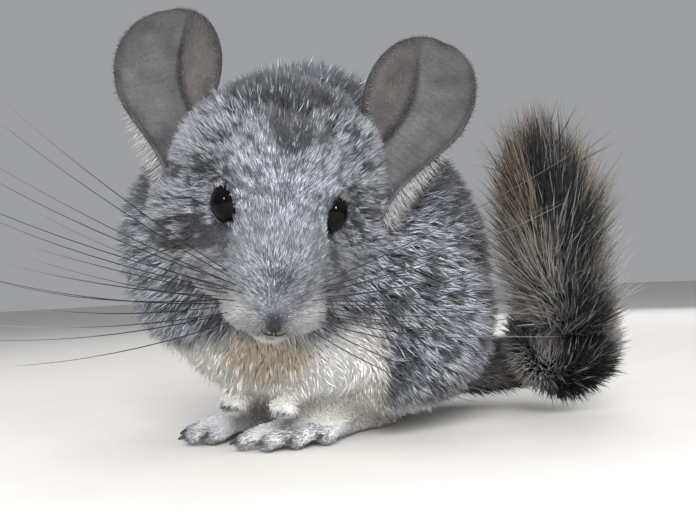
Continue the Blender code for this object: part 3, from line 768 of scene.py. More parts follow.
def seat_eyes(skin):
    """Draw the skin in under each eyeball, and hold it off the ball round the opening as lids."""
    points = points_of(skin.data) / MM
    for matrix in EYE_FRAMES.values():
        local = within(points, matrix)
        out = opening_share(local)
        around = (out >= 1.0) & (out < 1.9) & (np.linalg.norm(local, axis=1) < 14.0)
        top = 2.6 + 0.9 * np.maximum(np.linalg.norm(local[:, :2], axis=1) - EYE_OPENING[0], 0.0)
        local[:, 2] = np.where(around, np.minimum(local[:, 2], top), local[:, 2])
        away = np.linalg.norm(local, axis=1)
        held = np.where(around, np.maximum(away, EYE_RADIUS + 0.15), away)
        held = np.where((out < 1.0) & (away < 11.0), EYE_RADIUS - 0.6, held)
        points = placed(local * (held / np.maximum(away, 1e-6))[:, None], matrix)
    move_points(skin.data, points * MM)


def keep_largest(piece):
    """Delete every loose part of a mesh but the largest."""
    ends = edges_of(piece.data)
    label = np.arange(len(piece.data.vertices))
    while True:
        low = np.minimum(label[ends[:, 0]], label[ends[:, 1]])
        new = label.copy()
        np.minimum.at(new, ends[:, 0], low)
        np.minimum.at(new, ends[:, 1], low)
        new = new[new]
        if np.array_equal(new, label):
            break
        label = new
    numbers, counts = np.unique(label, return_counts=True)
    loose = label != numbers[np.argmax(counts)]
    if not loose.any():
        return
    edit_all(piece, bpy.ops.mesh.select_all, action="DESELECT")
    piece.data.vertices.foreach_set("select", loose)
    bpy.ops.object.mode_set(mode="EDIT")
    bpy.ops.mesh.delete(type="VERT")
    bpy.ops.object.mode_set(mode="OBJECT")


LIMB_LIE = {
    "hind_foot": (0.0, -1.0, -0.05), "forepaw": (0.0, -0.9, -0.5), "shank": (0.0, 0.5, -1.0),
    "foreleg": (0.0, -0.75, -0.65),
}


def lie_of_coat(points, normals, parts):
    """The way the hair lies at each point, along the surface. Points are in millimetres."""
    off = points - np.array(NAPE)
    on = np.array(TAIL_ROOT) - points
    lie = unit(off / np.sum(off * off, axis=1)[:, None] + 1.3 * on / np.sum(on * on, axis=1)[:, None])
    head = to_head(points)
    back = head - (np.array(NOSE_TIP) + np.array((2.0, 0.0, 2.0)))
    back[:, 2] -= 8.0 * rise(5.0, 18.0, np.abs(head[:, 1])) * rise(30.0, 8.0, head[:, 0])
    way = unit(back)
    for sign in SIDES.values():
        off_eye = head - np.array(beside_eye(sign, 3.6, 5.0))
        near = rise(17.0, 7.0, np.linalg.norm(off_eye, axis=1))[:, None]
        way = way + 2.2 * near * unit(off_eye)
    on_head = unit(way) @ HEAD_TURN.T
    heading = along_tail(points)[1]
    for index, name in enumerate(PARTS):
        mine = parts == index
        if name == "head":
            lie[mine] = on_head[mine]
        elif name.startswith("tail"):
            lie[mine] = heading[mine]
        for start, way in LIMB_LIE.items():
            if name.startswith(start):
                lie[mine] = way
    return unit(flattened(lie, normals))


class Coat:
    """A skin's points with all that a tuft takes from its root: lie, part, and place on the unwrap."""

    def __init__(self, skin, lie=None):
        mesh = skin.data
        self.points = points_of(mesh)
        self.place = self.points / MM
        self.head = to_head(self.place)
        self.normals = normals_of(mesh)
        self.ends = edges_of(mesh)
        if lie is None:
            self.parts = nearest_parts(self.points + self.normals * 3.0 * MM)
            lie = spread(lie_of_coat(self.place, self.normals, self.parts), self.ends, 20)
        self.lie = unit(flattened(lie, self.normals))
        mesh.calc_loop_triangles()
        self.faces = read_all(mesh.loop_triangles, "vertices", 3, np.int32)
        loops = read_all(mesh.loop_triangles, "loops", 3, np.int32)
        self.unwrap = read_all(mesh.uv_layers["OFBake"].data, "uv", 2)[loops]

    def part(self, *starts):
        """1 at the points of the parts whose names start so, and 0 elsewhere."""
        chosen = [index for index, name in enumerate(PARTS) if name.startswith(starts)]
        return np.isin(self.parts, chosen).astype(float)

    def roots(self, density, seed):
        """Roots spread over the skin by a density at each point, in tufts for each square millimetre."""
        a, b, c = (self.points[self.faces[:, corner]] for corner in range(3))
        area = 0.5 * np.linalg.norm(np.cross(b - a, c - a), axis=1) / MM ** 2
        weight = area * density[self.faces].mean(1)
        total = weight.sum()
        count = int(total)
        draw = np.random.default_rng(seed)
        marks = (np.arange(count) + draw.random(count)) * total / count
        face = np.minimum(np.searchsorted(np.cumsum(weight), marks), len(self.faces) - 1)
        first = np.sqrt(draw.random(count))
        second = draw.random(count)
        share = np.stack((1.0 - first, first * (1.0 - second), first * second), axis=1)

        def blend(values):
            return np.einsum("ij,ijk->ik", share, values)

        corners = self.faces[face]
        return {
            "place": blend(self.points[corners]) / MM, "normal": unit(blend(self.normals[corners])),
            "lie": unit(blend(self.lie[corners])), "unwrap": blend(self.unwrap[face]), "near": corners[:, 0],
            "draw": draw, "count": count,
        }


def white_share(points, head, on_head):
    """How white the coat is: the chest between the haunches, the knee, the belly, the chin and the pads."""
    wobble = smooth_noise(points / 7.0, 3) - 0.5
    sweep = -points[:, 1] - 36.0 + (36.0 - points[:, 2]) * 0.6 + 8.0 * wobble
    ceiling = 37.0 + 6.0 * wobble - points[:, 2]
    white = rise(0.0, 7.0, sweep) * rise(-3.0, 5.0, ceiling)
    white *= rise(0.0, -10.0, np.abs(points[:, 0]) + points[:, 1] + 4.0 * wobble)
    white = np.maximum(white, rise(0.35, 0.6, blob(points, KNEE, (14.0, 13.0, 13.0)) + 0.2 * wobble))
    under = rise(14.0, 8.0, points[:, 2]) * rise(10.0, -10.0, points[:, 1])
    white = np.maximum(white, under * 0.8)
    ahead, across, above = head.T
    chin = rise(-16.5, -20.0, above + 2.0 * wobble) * rise(19.0, 12.0, np.abs(across))
    chin *= rise(4.0, 14.0, ahead)
    pads = sum(blob(head, (36.0, 7.5 * sign, -14.0), (12.0, 8.0, 7.0)) for sign in SIDES.values())
    return np.where(on_head, np.maximum(chin * 0.9, 0.44 * np.clip(pads, 0.0, 1.0)), white)


def veil_and_crown_shade(points, head, on_head):
    """How dark the tips of the hair are: the back, the crown, the forehead and the bridge of the nose. The top
    of the crown also gets painted shade.
    """
    veil = 0.16 + 0.45 * rise(56.0, 80.0, points[:, 2]) + 0.10 * rise(95.0, 122.0, points[:, 2])
    veil += 0.12 * rise(10.0, 30.0, points[:, 1])
    patch = blob(head, FOREHEAD, (12.0, 7.5, 11.0)) + 0.9 * blob(head, CROWN, (22.0, 15.0, 12.0))
    bridge = blob(head, (33.0, 0.0, -3.0), (13.0, 6.0, 8.0))
    eyes = np.zeros(len(points))
    brows = np.zeros(len(points))
    for sign in SIDES.values():
        eyes = np.maximum(eyes, blob(head, beside_eye(sign, 3.5, 4.6), (9.5, 9.5, 9.5)))
        brows = np.maximum(brows, blob(head, (16.0, sign * 11.5, 12.5), (8.0, 7.0, 6.0)))
    face = 0.10 + 1.6 * patch + 0.55 * bridge + 0.10 * eyes * (1.0 - brows) - 0.16 * brows
    # The top of the crown is darkened strongly: partly its dark veil, partly painted shade.
    face += 1.00 * rise(22.0, 32.0, head[:, 2]) * rise(22.0, -2.0, head[:, 0])
    face += 0.9 * blob(head, (45.5, 0.0, -11.8), (6.0, 3.4, 4.0))
    return np.clip(np.where(on_head, face, veil), 0.0, 1.0)


def crack_share(points, head, on_head):
    """The dark wavy cracks where the coat parts, finer on the head and faint on the face."""
    reach = np.where(on_head, np.linalg.norm(head - np.array(NOSE_TIP), axis=1),
                     np.linalg.norm(points - np.array(NAPE), axis=1))
    sheared = points / np.where(on_head, 3.0, 5.5)[:, None]
    sheared[:, 0] += (reach + 4.0 * smooth_noise(points / 4.5, 11)) / np.where(on_head, 1.9, 3.0)
    ripple = 0.62 * smooth_noise(sheared, 5) + 0.38 * smooth_noise(points / 2.6, 6)
    lines = 1.0 - np.abs(2.0 * smooth_noise(sheared * 0.9 + 7.3, 8) - 1.0)
    cracks = np.maximum(rise(0.50, 0.34, ripple), rise(0.74, 0.94, lines))
    return cracks * (1.0 - 0.62 * (rise(12.0, 30.0, head[:, 0]) * on_head))


def markings(points, parts):
    """The coat's markings at points in millimetres: shares of white, of dark veil and of cracks."""
    head = to_head(points)
    on_head = parts == HEAD_PART
    return tuple(share(points, head, on_head) for share in (white_share, veil_and_crown_shade, crack_share))


def lock_faces(rings):
    """The triangles of one lock: its sides, ring by ring, its tip, and its closed root."""
    faces = []
    for ring in range(rings):
        start = ring * LOCK_CORNERS
        for corner in range(LOCK_CORNERS):
            here, after = start + corner, start + (corner + 1) % LOCK_CORNERS
            if ring == rings - 1:
                faces.append((here, after, rings * LOCK_CORNERS))
            else:
                faces.append((here, after, after + LOCK_CORNERS))
                faces.append((here, after + LOCK_CORNERS, here + LOCK_CORNERS))
    return np.array([*faces, (2, 1, 0)])


def lock_chart(rings):
    """Where the points of one lock lie on the bake map, from the place of its root."""
    offsets = [(LOCK_PATCH * corner / (LOCK_CORNERS - 1), LOCK_PATCH * ring / rings)
               for ring in range(rings) for corner in range(LOCK_CORNERS)]
    return np.array([*offsets, (LOCK_PATCH / 2.0, LOCK_PATCH)])


def lock_points(roots, size, angles, rings, thickness, curl, roll):
    """The points of a tapered lock at each root: three round each ring, then its tip."""
    place = roots["place"]
    count = len(place)
    length, width, low, high = (np.broadcast_to(value, count)[:, None] for value in (*size, *angles))
    lie = roots["lie"]
    normal = roots["normal"]
    turn = roots["draw"].normal(0.0, roll, count)[:, None]
    across = np.cross(lie, normal) * np.cos(turn) + normal * np.sin(turn)
    centre = place - normal * np.minimum(0.35, 0.13 * length)
    rows = []
    for ring in range(rings + 1):
        along = ring / rings
        angle = low + (high - low) * along
        heading = unit(lie * np.cos(angle) + normal * np.sin(angle) + curl * along)
        if ring:
            centre = centre + heading * length / rings
            centre[:, 2] = np.maximum(centre[:, 2], LOWEST_HAIR)
        if ring == rings:
            rows.append(centre[:, None, :])
            break
        swell = 1.0 if rings == 1 else 0.8 + 0.25 * math.sin(math.pi * min(1.0, 1.5 * along)) - 0.35 * along
        flat = unit(flattened(across, heading))
        up = np.cross(heading, flat)
        half = 0.5 * width * swell
        rows.append(np.stack((
            centre + flat * half, centre + up * half * 2.0 * thickness, centre - flat * half), axis=1))
    return np.concatenate(rows, axis=1)


def make_tufts(name, slot, roots, size, angles, colours, rings=2, thickness=0.4, curl=0.0, roll=0.5):
    """Grow one tapered lock at each root, and join them into pieces of at most MOST_TRIANGLES.

    size is (length, width) in millimetres for each root. angles are those over the skin at the root and at
    the tip, in radians. colours has one row of linear colour for each ring and one for the tip.
    """
    points = lock_points(roots, size, angles, rings, thickness, curl, roll)
    count, own = points.shape[:2]
    shades = np.stack([
        np.broadcast_to(colours[ring], (count, 3))
        for ring in (*np.repeat(np.arange(rings), LOCK_CORNERS), rings)], axis=1)
    faces = lock_faces(rings)
    chart = lock_chart(rings)
    pieces = max(1, math.ceil(count / (MOST_TRIANGLES // len(faces))))
    place = roots["place"]
    order = np.argsort(place[:, 2] + 0.4 * place[:, 1], kind="stable")
    for number in range(pieces):
        mine = order[number * count // pieces:(number + 1) * count // pieces]
        corners = (faces[None] + (np.arange(len(mine)) * own)[:, None, None]).reshape(-1)
        mesh = bpy.data.meshes.new(name)
        mesh.vertices.add(len(mine) * own)
        mesh.vertices.foreach_set("co", (points[mine] * MM).astype(np.float32).ravel())
        mesh.loops.add(len(corners))
        mesh.loops.foreach_set("vertex_index", corners.astype(np.int32))
        mesh.polygons.add(len(corners) // 3)
        mesh.polygons.foreach_set("loop_start", np.arange(0, len(corners), 3, dtype=np.int32))
        mesh.update(calc_edges=True)
        flat_map = (roots["unwrap"][mine][:, None, :] + chart[None]).reshape(-1, 2)
        layer = mesh.uv_layers.new(name="OFBake")
        layer.data.foreach_set("uv", flat_map[corners].astype(np.float32).ravel())
        colour_points(mesh, shades[mine].reshape(-1, 3))
        piece = add_object(name if pieces == 1 else "%s_%d" % (name, number + 1), mesh)
        finish_piece(piece, slot, "coat_hair", hair_material)


def clump(place, tufts):
    """The curl that draws the tips of the hair towards the middles of clumps of so many tufts."""
    middle = place[::tufts]
    tree = search_tree(middle)
    return (np.array([middle[tree.find(point)[1]] for point in place]) - place) * CLUMP_PULL


def coat_shades(roots, on_head, shares, jitter, tip_dark, lightness):
    """Colours of root, middle and tip for each tuft, from the markings at its root, with painted shade at the
    roots and the throat and painted light at the knee.
    """
    white, veil, cracks = shares
    choice = settings()
    place, draw, count = roots["place"], roots["draw"], roots["count"]
    under = linear(choice.undercoat)
    band = linear(choice.band)
    light = 1.0 - np.where(on_head, 0.92, 0.74) * cracks
    light *= 1.0 + jitter * draw.normal(0.0, 1.0, count)
    light *= 1.0 + np.where(on_head, 0.56, 0.24) * (smooth_noise(place / 1.1, 9) - 0.5)
    light = np.clip(light * lightness, 0.08, 1.35)[:, None]
    dark_end = draw.random(count) < np.clip(tip_dark * (0.35 + 1.5 * veil), 0.0, 0.90)
    grey_tip = np.where(dark_end[:, None], linear(choice.veil) * (0.5 + 0.5 * light), band * light)
    grey_middle = mix(under, band, 0.72) * light * (1.0 - 0.86 * veil * dark_end)[:, None]
    soft = linear(choice.belly) * np.clip(0.94 + 0.07 * draw.normal(0.0, 1.0, count), 0.7, 1.05)[:, None]
    # Painted light: round the knee the white is lifted nearly to pure white.
    soft = mix(soft, 0.97, np.clip(blob(place, KNEE, (15.0, 15.0, 14.0)), 0.0, 1.0))
    # Painted shade under the chin, with a painted warm tint of bounced light: round the throat the white is
    # darkened and warmed.
    throat_shade = np.clip(1.2 * blob(place, THROAT, (18.0, 14.0, 12.0)), 0.0, 0.8)
    soft = mix(soft, soft * np.array((0.74, 0.66, 0.56)), throat_shade)
    # Painted shade deep in the coat: each tuft's root is darker than the hair's own colour, and the white tips
    # get a little painted light.
    pairs = ((under * 0.6, soft * 0.8), (grey_middle, soft), (grey_tip, soft * 1.05))
    return [mix(grey, pale, white) for grey, pale in pairs]


def grow(coat, name, density, seed, length, width, angles, tip_dark, jitter=0.12, gather=0, lightness=1.0,
         slot="grey_coat", rings=2):
    """Cover part of the skin with tufts in the coat's markings.

    Density, length, width and angles hold all over, or have a value for each point of the skin. gather is the
    number of tufts in a clump.
    """
    roots = coat.roots(density, seed)
    place, near, draw, count = (roots[key] for key in ("place", "near", "draw", "count"))
    length, width, low, high = (
        value[near] if isinstance(value, np.ndarray) else value for value in (length, width, *angles))
    shares = markings(place, coat.parts[near])
    long = length * (1.0 + 0.14 * draw.normal(0.0, 1.0, count)) * (1.0 - 0.38 * shares[2])
    wide = width * (0.75 + 0.5 * draw.random(count))
    low = low + 0.10 * draw.normal(0.0, 1.0, count)
    high = high + 0.10 * draw.normal(0.0, 1.0, count)
    curl = noise_vectors(place / 6.0, seed + 20) * SWAY * 4.0
    curl += draw.normal(0.0, 0.5 * SWAY, (count, 3))
    if gather:
        curl += clump(place, gather)
    colours = coat_shades(roots, coat.parts[near] == HEAD_PART, shares, jitter, tip_dark, lightness)
    make_tufts(name, slot, roots, (long, wide), (low, high), colours[2 - rings:], rings=rings, curl=curl)


def face_share(coat):
    """How far each point is on the short-haired face, from 0 to 1."""
    return spread(coat.part("head") * rise(2.0, 24.0, coat.head[:, 0]), coat.ends, 6)


def near_eyes(coat):
    """How near each point is to the rim of an eye, from 0 to 1."""
    near = np.zeros(len(coat.head))
    for sign in SIDES.values():
        away = np.linalg.norm(coat.head - np.array(beside_eye(sign, 3.6, 5.0)), axis=1)
        near = np.maximum(near, rise(14.0, 7.5, away))
    return near * coat.part("head")


def hair_share(coat):
    """1 where hair grows, and 0 on the lids and the nose."""
    nose = np.linalg.norm((coat.head - np.array((45.4, 0.0, -13.2))) / np.array((3.0, 1.7, 1.9)), axis=1)
    return rise(1.02, 1.10, eye_opening(coat.place)) * rise(0.8, 1.1, nose)


def toe_tip_share(place):
    """How near each point is to the tip of a hind toe, from 0 to 1."""
    near = np.zeros(len(place))
    for x, y in HIND_TOE_TIPS:
        near = np.maximum(near, rise(6.5, 2.5, np.hypot(place[:, 0] - x, place[:, 1] - y - 1.5)))
    return near


class CHINCHILLA_OT_skin(bpy.types.Operator):
    """Make the skin that replaces the flesh of the solids."""

    bl_idname = "chinchilla.skin"
    bl_label = "Skin"

    def execute(self, context):
        choice = settings()
        skin = make_skin_mesh()
        unwrap(skin)
        coat = Coat(skin)
        white, veil, cracks = markings(coat.place, coat.parts)
        grey = mix(linear(choice.undercoat), linear(choice.band), 0.30 * (1.0 - cracks) * (1.0 - veil))
        # Painted shade deep in the coat: under the white coat and the feet, the skin takes their colours
        # darkened.
        colours = mix(grey, linear(choice.belly) * 0.6, white)
        feet = spread(coat.part("hind_foot", "forepaw"), coat.ends, 4)
        colours = mix(colours, linear(choice.foot) * 0.8, feet)
        brush = coat.part("tail") * rise(0.2, 0.5, along_tail(coat.place)[0])
        colours = mix(colours, linear(choice.brush_dark), brush)
        colours = mix(colours, linear((0.10, 0.09, 0.10)), rise(1.12, 1.03, eye_opening(coat.place)))
        colour_points(skin.data, colours)
        finish_piece(
            skin, "grey_coat", "skin_under_coat", skin_material,
            *FLESH_DEPTH, "whisker_pad_left", "whisker_pad_right", "tail_brush", "nose")
        return {"FINISHED"}


class CHINCHILLA_OT_body_coat(bpy.types.Operator):
    """Grow the deep coat of the body, the neck and the haunches."""

    bl_idname = "chinchilla.body_coat"
    bl_label = "Body coat"

    def execute(self, context):
        choice = settings()
        coat = Coat(bpy.data.objects["skin"])
        body = coat.part("torso", "neck", "thigh", "chest")
        white = spread(markings(coat.place, coat.parts)[0], coat.ends, 4)
        length = (choice.body_hair * (1.0 - white) + choice.chest_hair * white) / MM
        length = length * (1.0 - 0.58 * (rise(28.0, 13.0, coat.place[:, 2]) * np.maximum(white, 0.5)))
        grow(
            coat, "coat_body", body * (3.6 + 1.3 * white), 31, length * 0.80, 0.44,
            (0.9, 1.18 - 0.60 * white), 0.85, gather=26, lightness=1.06, rings=1)
        grow(
            coat, "coat_body_long", body * 0.40, 37, length, 0.52, (1.15, 0.75), 0.85, gather=8,
            lightness=1.06)
        return {"FINISHED"}


class CHINCHILLA_OT_head_coat(bpy.types.Operator):
    """Grow the coat of the head, short on the face and longer on the crown and the cheeks."""

    bl_idname = "chinchilla.head_coat"
    bl_label = "Head coat"

    def execute(self, context):
        choice = settings()
        coat = Coat(bpy.data.objects["skin"])
        head = coat.part("head") * hair_share(coat)
        face = face_share(coat)
        rim = near_eyes(coat)
        length = (choice.body_hair * 0.62 * (1.0 - face) + choice.face_hair * face) / MM * (1.0 - 0.45 * rim)
        near_nose = np.linalg.norm(coat.head - np.array(NOSE_TIP), axis=1)
        length = length * (0.45 + 0.55 * rise(3.0, 12.0, near_nose))
        low = (0.95 * (1.0 - face) + 0.42 * face) * (1.0 - 0.4 * rim)
        steep = (1.05 * (1.0 - face) + 0.48 * face) * (1.0 - 0.2 * rim)
        furred = head * rise(0.85, 0.45, face)
        short = head * rise(0.25, 0.70, face)
        grow(
            coat, "coat_head", furred * 7.0, 32, length * 0.9, 0.42, (low, steep), 0.70, jitter=0.24,
            gather=24, lightness=0.66, rings=1)
        grow(
            coat, "coat_head_long", furred * 0.7, 38, length, 0.45, (low * 1.1, low * 0.75), 0.70,
            jitter=0.20, gather=8, lightness=0.66)
        grow(
            coat, "coat_face", short * 19.0, 36, length, 0.27, (low, steep), 0.60, jitter=0.48,
            lightness=0.72, rings=1)
        return {"FINISHED"}


class CHINCHILLA_OT_limb_coat(bpy.types.Operator):
    """Grow the short coat of the legs and the feet."""

    bl_idname = "chinchilla.limb_coat"
    bl_label = "Limb coat"

    def execute(self, context):
        choice = settings()
        coat = Coat(bpy.data.objects["skin"])
        legs = coat.part("foreleg", "shank")
        grow(coat, "coat_legs", legs * 2.2, 33, 6.0, 0.8, (0.6, 0.25), 0.5, slot="white_coat")
        feet = coat.part("hind_foot", "forepaw") * rise(0.4 * MM, 1.2 * MM, coat.points[:, 2])
        roots = coat.roots(feet * 7.0, 34)
        place, draw, count = (roots[key] for key in ("place", "draw", "count"))
        light = linear(choice.foot) * (0.85 + 0.12 * draw.normal(0.0, 1.0, count))[:, None]
        dark_share = 0.10 + 0.75 * toe_tip_share(place) + 0.5 * rise(-30.0, -12.0, place[:, 1])
        speckled = (draw.random(count) < dark_share)[:, None]
        # Painted shade deep in the coat: each foot tuft's root is darker than its tip.
        colours = (light * 0.8, np.where(speckled, linear(choice.veil) * 1.3, light))
        long = 2.1 * (0.8 + 0.4 * draw.random(count))
        curl = draw.normal(0.0, 0.1, (count, 3))
        make_tufts("coat_feet", "foot_coat", roots, (long, 0.38), (0.4, 0.38), colours, rings=1, curl=curl)
        return {"FINISHED"}


class CHINCHILLA_OT_tail_coat(bpy.types.Operator):
    """Grow the tail's coat, from short at its root to the long brush."""

    bl_idname = "chinchilla.tail_coat"
    bl_label = "Tail coat"

    def execute(self, context):
        choice = settings()
        coat = Coat(bpy.data.objects["skin"])
        thick = 2.2 + 2.6 * rise(0.25, 0.6, along_tail(coat.place)[0])
        roots = coat.roots(coat.part("tail") * thick, 35)
        place, draw, count = (roots[key] for key in ("place", "draw", "count"))
        share, _, out = along_tail(place)
        growth = rise(0.38, 0.68, share)
        longest = choice.brush_hair / MM
        long = SHORTEST_TAIL_HAIR + (longest - SHORTEST_TAIL_HAIR) * growth
        long = long * (0.8 + 0.35 * draw.random(count))
        low = 0.75 - 0.05 * growth + 0.10 * draw.normal(0.0, 1.0, count)
        high = 0.45 - 0.25 * rise(0.7, 1.0, share) + 0.12 * draw.normal(0.0, 1.0, count)
        band = tail_band(share, out)
        tip = rise(0.66, 0.84, share + 0.05 * draw.normal(0.0, 1.0, count))
        shade = (0.75 + 0.5 * draw.random(count))[:, None]
        darkness = np.clip(np.maximum(band, tip), 0.0, 1.0)
        darkness = np.where(draw.random(count) < 0.12, darkness * 0.4, darkness)
        black = linear(choice.brush_dark)
        side = linear(choice.brush_light) * shade
        brown = draw.random(count) < 0.62 * tip * (1.0 - band)
        end = np.where(brown[:, None], linear(choice.fringe) * shade, mix(side, black, darkness))
        curl = draw.normal(0.0, 0.10, (count, 3)) + noise_vectors(place / 9.0, 60) * 0.5
        make_tufts(
            "coat_tail", "dark_coat", roots, (long, 0.80 - 0.22 * growth), (low, high),
            (black * 1.5, mix(side * 0.65, black, darkness), end), thickness=0.3, curl=curl)
        return {"FINISHED"}


def ear_widening(along):
    """How wide the ear is below its widest, as a share of that."""
    return 0.50 + 0.50 * rise(0.0, EAR_WIDEST, along)


def half_arc(along):
    """Half the ear's width over its curve, in millimetres, at shares of its length."""
    past = np.clip((along - EAR_WIDEST) / (1.0 - EAR_WIDEST), 0.0, 1.0)
    narrowing = np.sqrt(np.maximum(0.0, 1.0 - past ** 2.3))
    return EAR_HALF_ARC * np.where(along < EAR_WIDEST, ear_widening(along), narrowing)


def ear_fold(along):
    """Where the ear's fold lies, as a share of its half width towards the head."""
    return 0.12 + 4.0 * (along - 0.6) ** 2


def ear_surface(along, across, sign):
    """The middle surface of an ear, in millimetres: X across, Y out of the cup, Z along."""
    roll = np.radians(120.0 - 72.0 * rise(0.0, 0.75, along))
    radius = EAR_HALF_ARC * ear_widening(along) / roll
    angle = across * half_arc(along) / radius
    past = across * sign - ear_fold(along)
    fold = rise(-0.12, 0.14, past) * rise(1.0 - ear_fold(along), 0.12, past)
    fold = 3.0 * fold * rise(0.08, 0.3, along) * rise(0.97, 0.72, along)
    out = radius * (1.0 - np.cos(angle)) - 4.0 * along ** 2 + fold
    return np.stack((radius * np.sin(angle), out, EAR_LENGTH * along), axis=-1)


def ear_matrix(side):
    """The frame of one ear: Z along it and Y out of its cup, in millimetres."""
    base, tip, facing = (Vector(value) for value in EARS[side])
    up = (tip - base).normalized()
    out = (facing - up * facing.dot(up)).normalized()
    return axes_matrix(out.cross(up), out, up, base)


class CHINCHILLA_OT_ears(bpy.types.Operator):
    """Make the two ears, thin folded cups with a velvety nap, and tufts at the foot and the rim."""

    bl_idname = "chinchilla.ears"
    bl_label = "Ears"

    def execute(self, context):
        for number, (side, sign) in enumerate(SIDES.items()):
            ear = add_primitive(
                "ear_skin_" + side, bpy.ops.mesh.primitive_grid_add, x_subdivisions=72, y_subdivisions=88,
                size=2.0)
            ear.data.uv_layers[0].name = "ear_map"
            grid = points_of(ear.data)
            across = grid[:, 0] * sign
            along = 0.995 * np.sin(0.25 * math.pi * (grid[:, 1] + 1.0)) ** 1.15
            matrix = np.array(ear_matrix(side))
            move_points(ear.data, placed(ear_surface(along, across, sign), matrix) * MM)
            for name, values in (("along", along), ("inward", across * sign)):
                layer = ear.data.attributes.new(name, "FLOAT", "POINT")
                layer.data.foreach_set("value", values.astype(np.float32))
            apply_modifier(ear, "SOLIDIFY", thickness=EAR_THICKNESS, offset=0.0, use_even_offset=False)
            face_out(ear)
            along, inward = (
                read_all(ear.data.attributes[name].data, "value", 1)[:, 0].astype(float)
                for name in ("along", "inward"))
            self.paint(ear, along, inward, 71 + number)
            unwrap(ear)
            finish_piece(ear, "ear_skin", "ear_velvet", ear_material, "ear_" + side)
            up = matrix[:3, 2]
            aside = matrix[:3, 0] * sign
            cup = rise(-0.05, 0.1, inward - ear_fold(along))[:, None]
            coat = Coat(ear, up * (0.35 + 0.5 * cup) + aside * (0.45 * cup - 0.8 * (1.0 - cup)))
            foot = rise(0.30, 0.12, along) * rise(0.35, -0.2, inward)
            fringe = np.maximum(foot, rise(-0.80, -0.93, inward) * rise(0.45, 0.25, along))
            fringe = np.maximum(fringe, 0.35 * rise(0.93, 0.99, np.maximum(np.abs(inward), along)))
            self.grow_nap(coat, side, along, inward, 1.0 - fringe)
            self.grow_fringe(coat, side, along, fringe, up, aside)
        return {"FINISHED"}

    def paint(self, ear, along, inward, seed):
        """Colour the ear: a brownish cup on the head's side of the fold, painted shadow along the fold, a dark
        rim, a pale base, and painted shade towards the tip.
        """
        skin = linear(settings().ear_skin)
        past = inward - ear_fold(along)
        colours = mix(skin, skin * np.array((0.80, 0.72, 0.68)), rise(-0.05, 0.1, past))
        # Painted shadow in the crease along the fold.
        shadow = np.exp(-(past / 0.07) ** 2) * rise(0.1, 0.3, along) * rise(1.0, 0.75, along)
        rim = rise(0.80, 1.0, np.maximum(np.abs(inward), along ** 3))
        colours = colours * (1.0 - 0.65 * shadow)[:, None] * (1.0 - 0.45 * rim)[:, None]
        colours = mix(colours, skin * 1.5, 0.6 * rise(0.30, 0.05, along))
        # Painted shade: the ear darkens towards its tip.
        colours = colours * (1.0 - 0.30 * rise(0.50, 0.95, along))[:, None]
        blotch = smooth_noise(points_of(ear.data) / MM / 4.0, seed)
        colour_points(ear.data, colours * (0.70 + 0.60 * blotch)[:, None])

    def grow_nap(self, coat, side, along, inward, share):
        """Grow the ear's short nap, with painted shade towards its tip, and darker at its rim and on the ribs.
        """
        roots = coat.roots(3.6 * share, 91)
        draw, count = roots["draw"], roots["count"]
        along, inward = along[roots["near"]], inward[roots["near"]]
        ribs = 0.5 + 0.5 * np.sin(along * EAR_LENGTH * 5.2 + 2.0 * inward)
        light = 1.35 + 0.75 * draw.normal(0.0, 1.0, count)
        shade = linear(settings().ear_skin) * light[:, None]
        # Painted shade: the nap darkens towards the ear's tip.
        shade = shade * (1.0 - 0.30 * rise(0.50, 0.95, along))[:, None]
        shade = shade * (1.0 - 0.12 * ribs * rise(0.0, -0.2, inward - ear_fold(along)))[:, None]
        shade = shade * (1.0 - 0.35 * rise(0.82, 1.0, np.maximum(np.abs(inward), along ** 3)))[:, None]
        shade = np.clip(shade, 0.02, 1.0)
        curl = draw.normal(0.0, 0.25, (count, 3))
        long = 1.3 * (0.7 + 0.6 * draw.random(count))
        # Painted shade in the nap: each tuft's root is darker than its tip.
        make_tufts(
            "ear_nap_" + side, "white_coat", roots, (long, 0.17), (0.35, 0.35), (shade * 0.8, shade), rings=1,
            curl=curl)

    def grow_fringe(self, coat, side, along, share, up, aside):
        """Grow the pale hair at the ear's foot and along its rim."""
        roots = coat.roots(3.2 * share, 92)
        draw, count = roots["draw"], roots["count"]
        low = rise(0.60, 0.20, along[roots["near"]])
        pale = mix(np.full(3, 0.10), np.full(3, 0.44), low)
        pale = pale * np.clip(1.0 + 0.12 * draw.normal(0.0, 1.0, count), 0.6, 1.2)[:, None]
        roots["lie"] = unit(roots["lie"] * 0.2 - aside * 0.75 - up * (0.75 * low)[:, None])
        long = (1.4 + 4.4 * low) * (0.5 + 0.8 * draw.random(count))
        curl = draw.normal(0.0, 0.2, (count, 3))
        # Painted shade in the fringe: each tuft's root is darker than the rest.
        make_tufts(
            "ear_fringe_" + side, "white_coat", roots, (long, 0.28), (0.35, 0.25), (pale * 0.8, pale, pale),
            curl=curl)


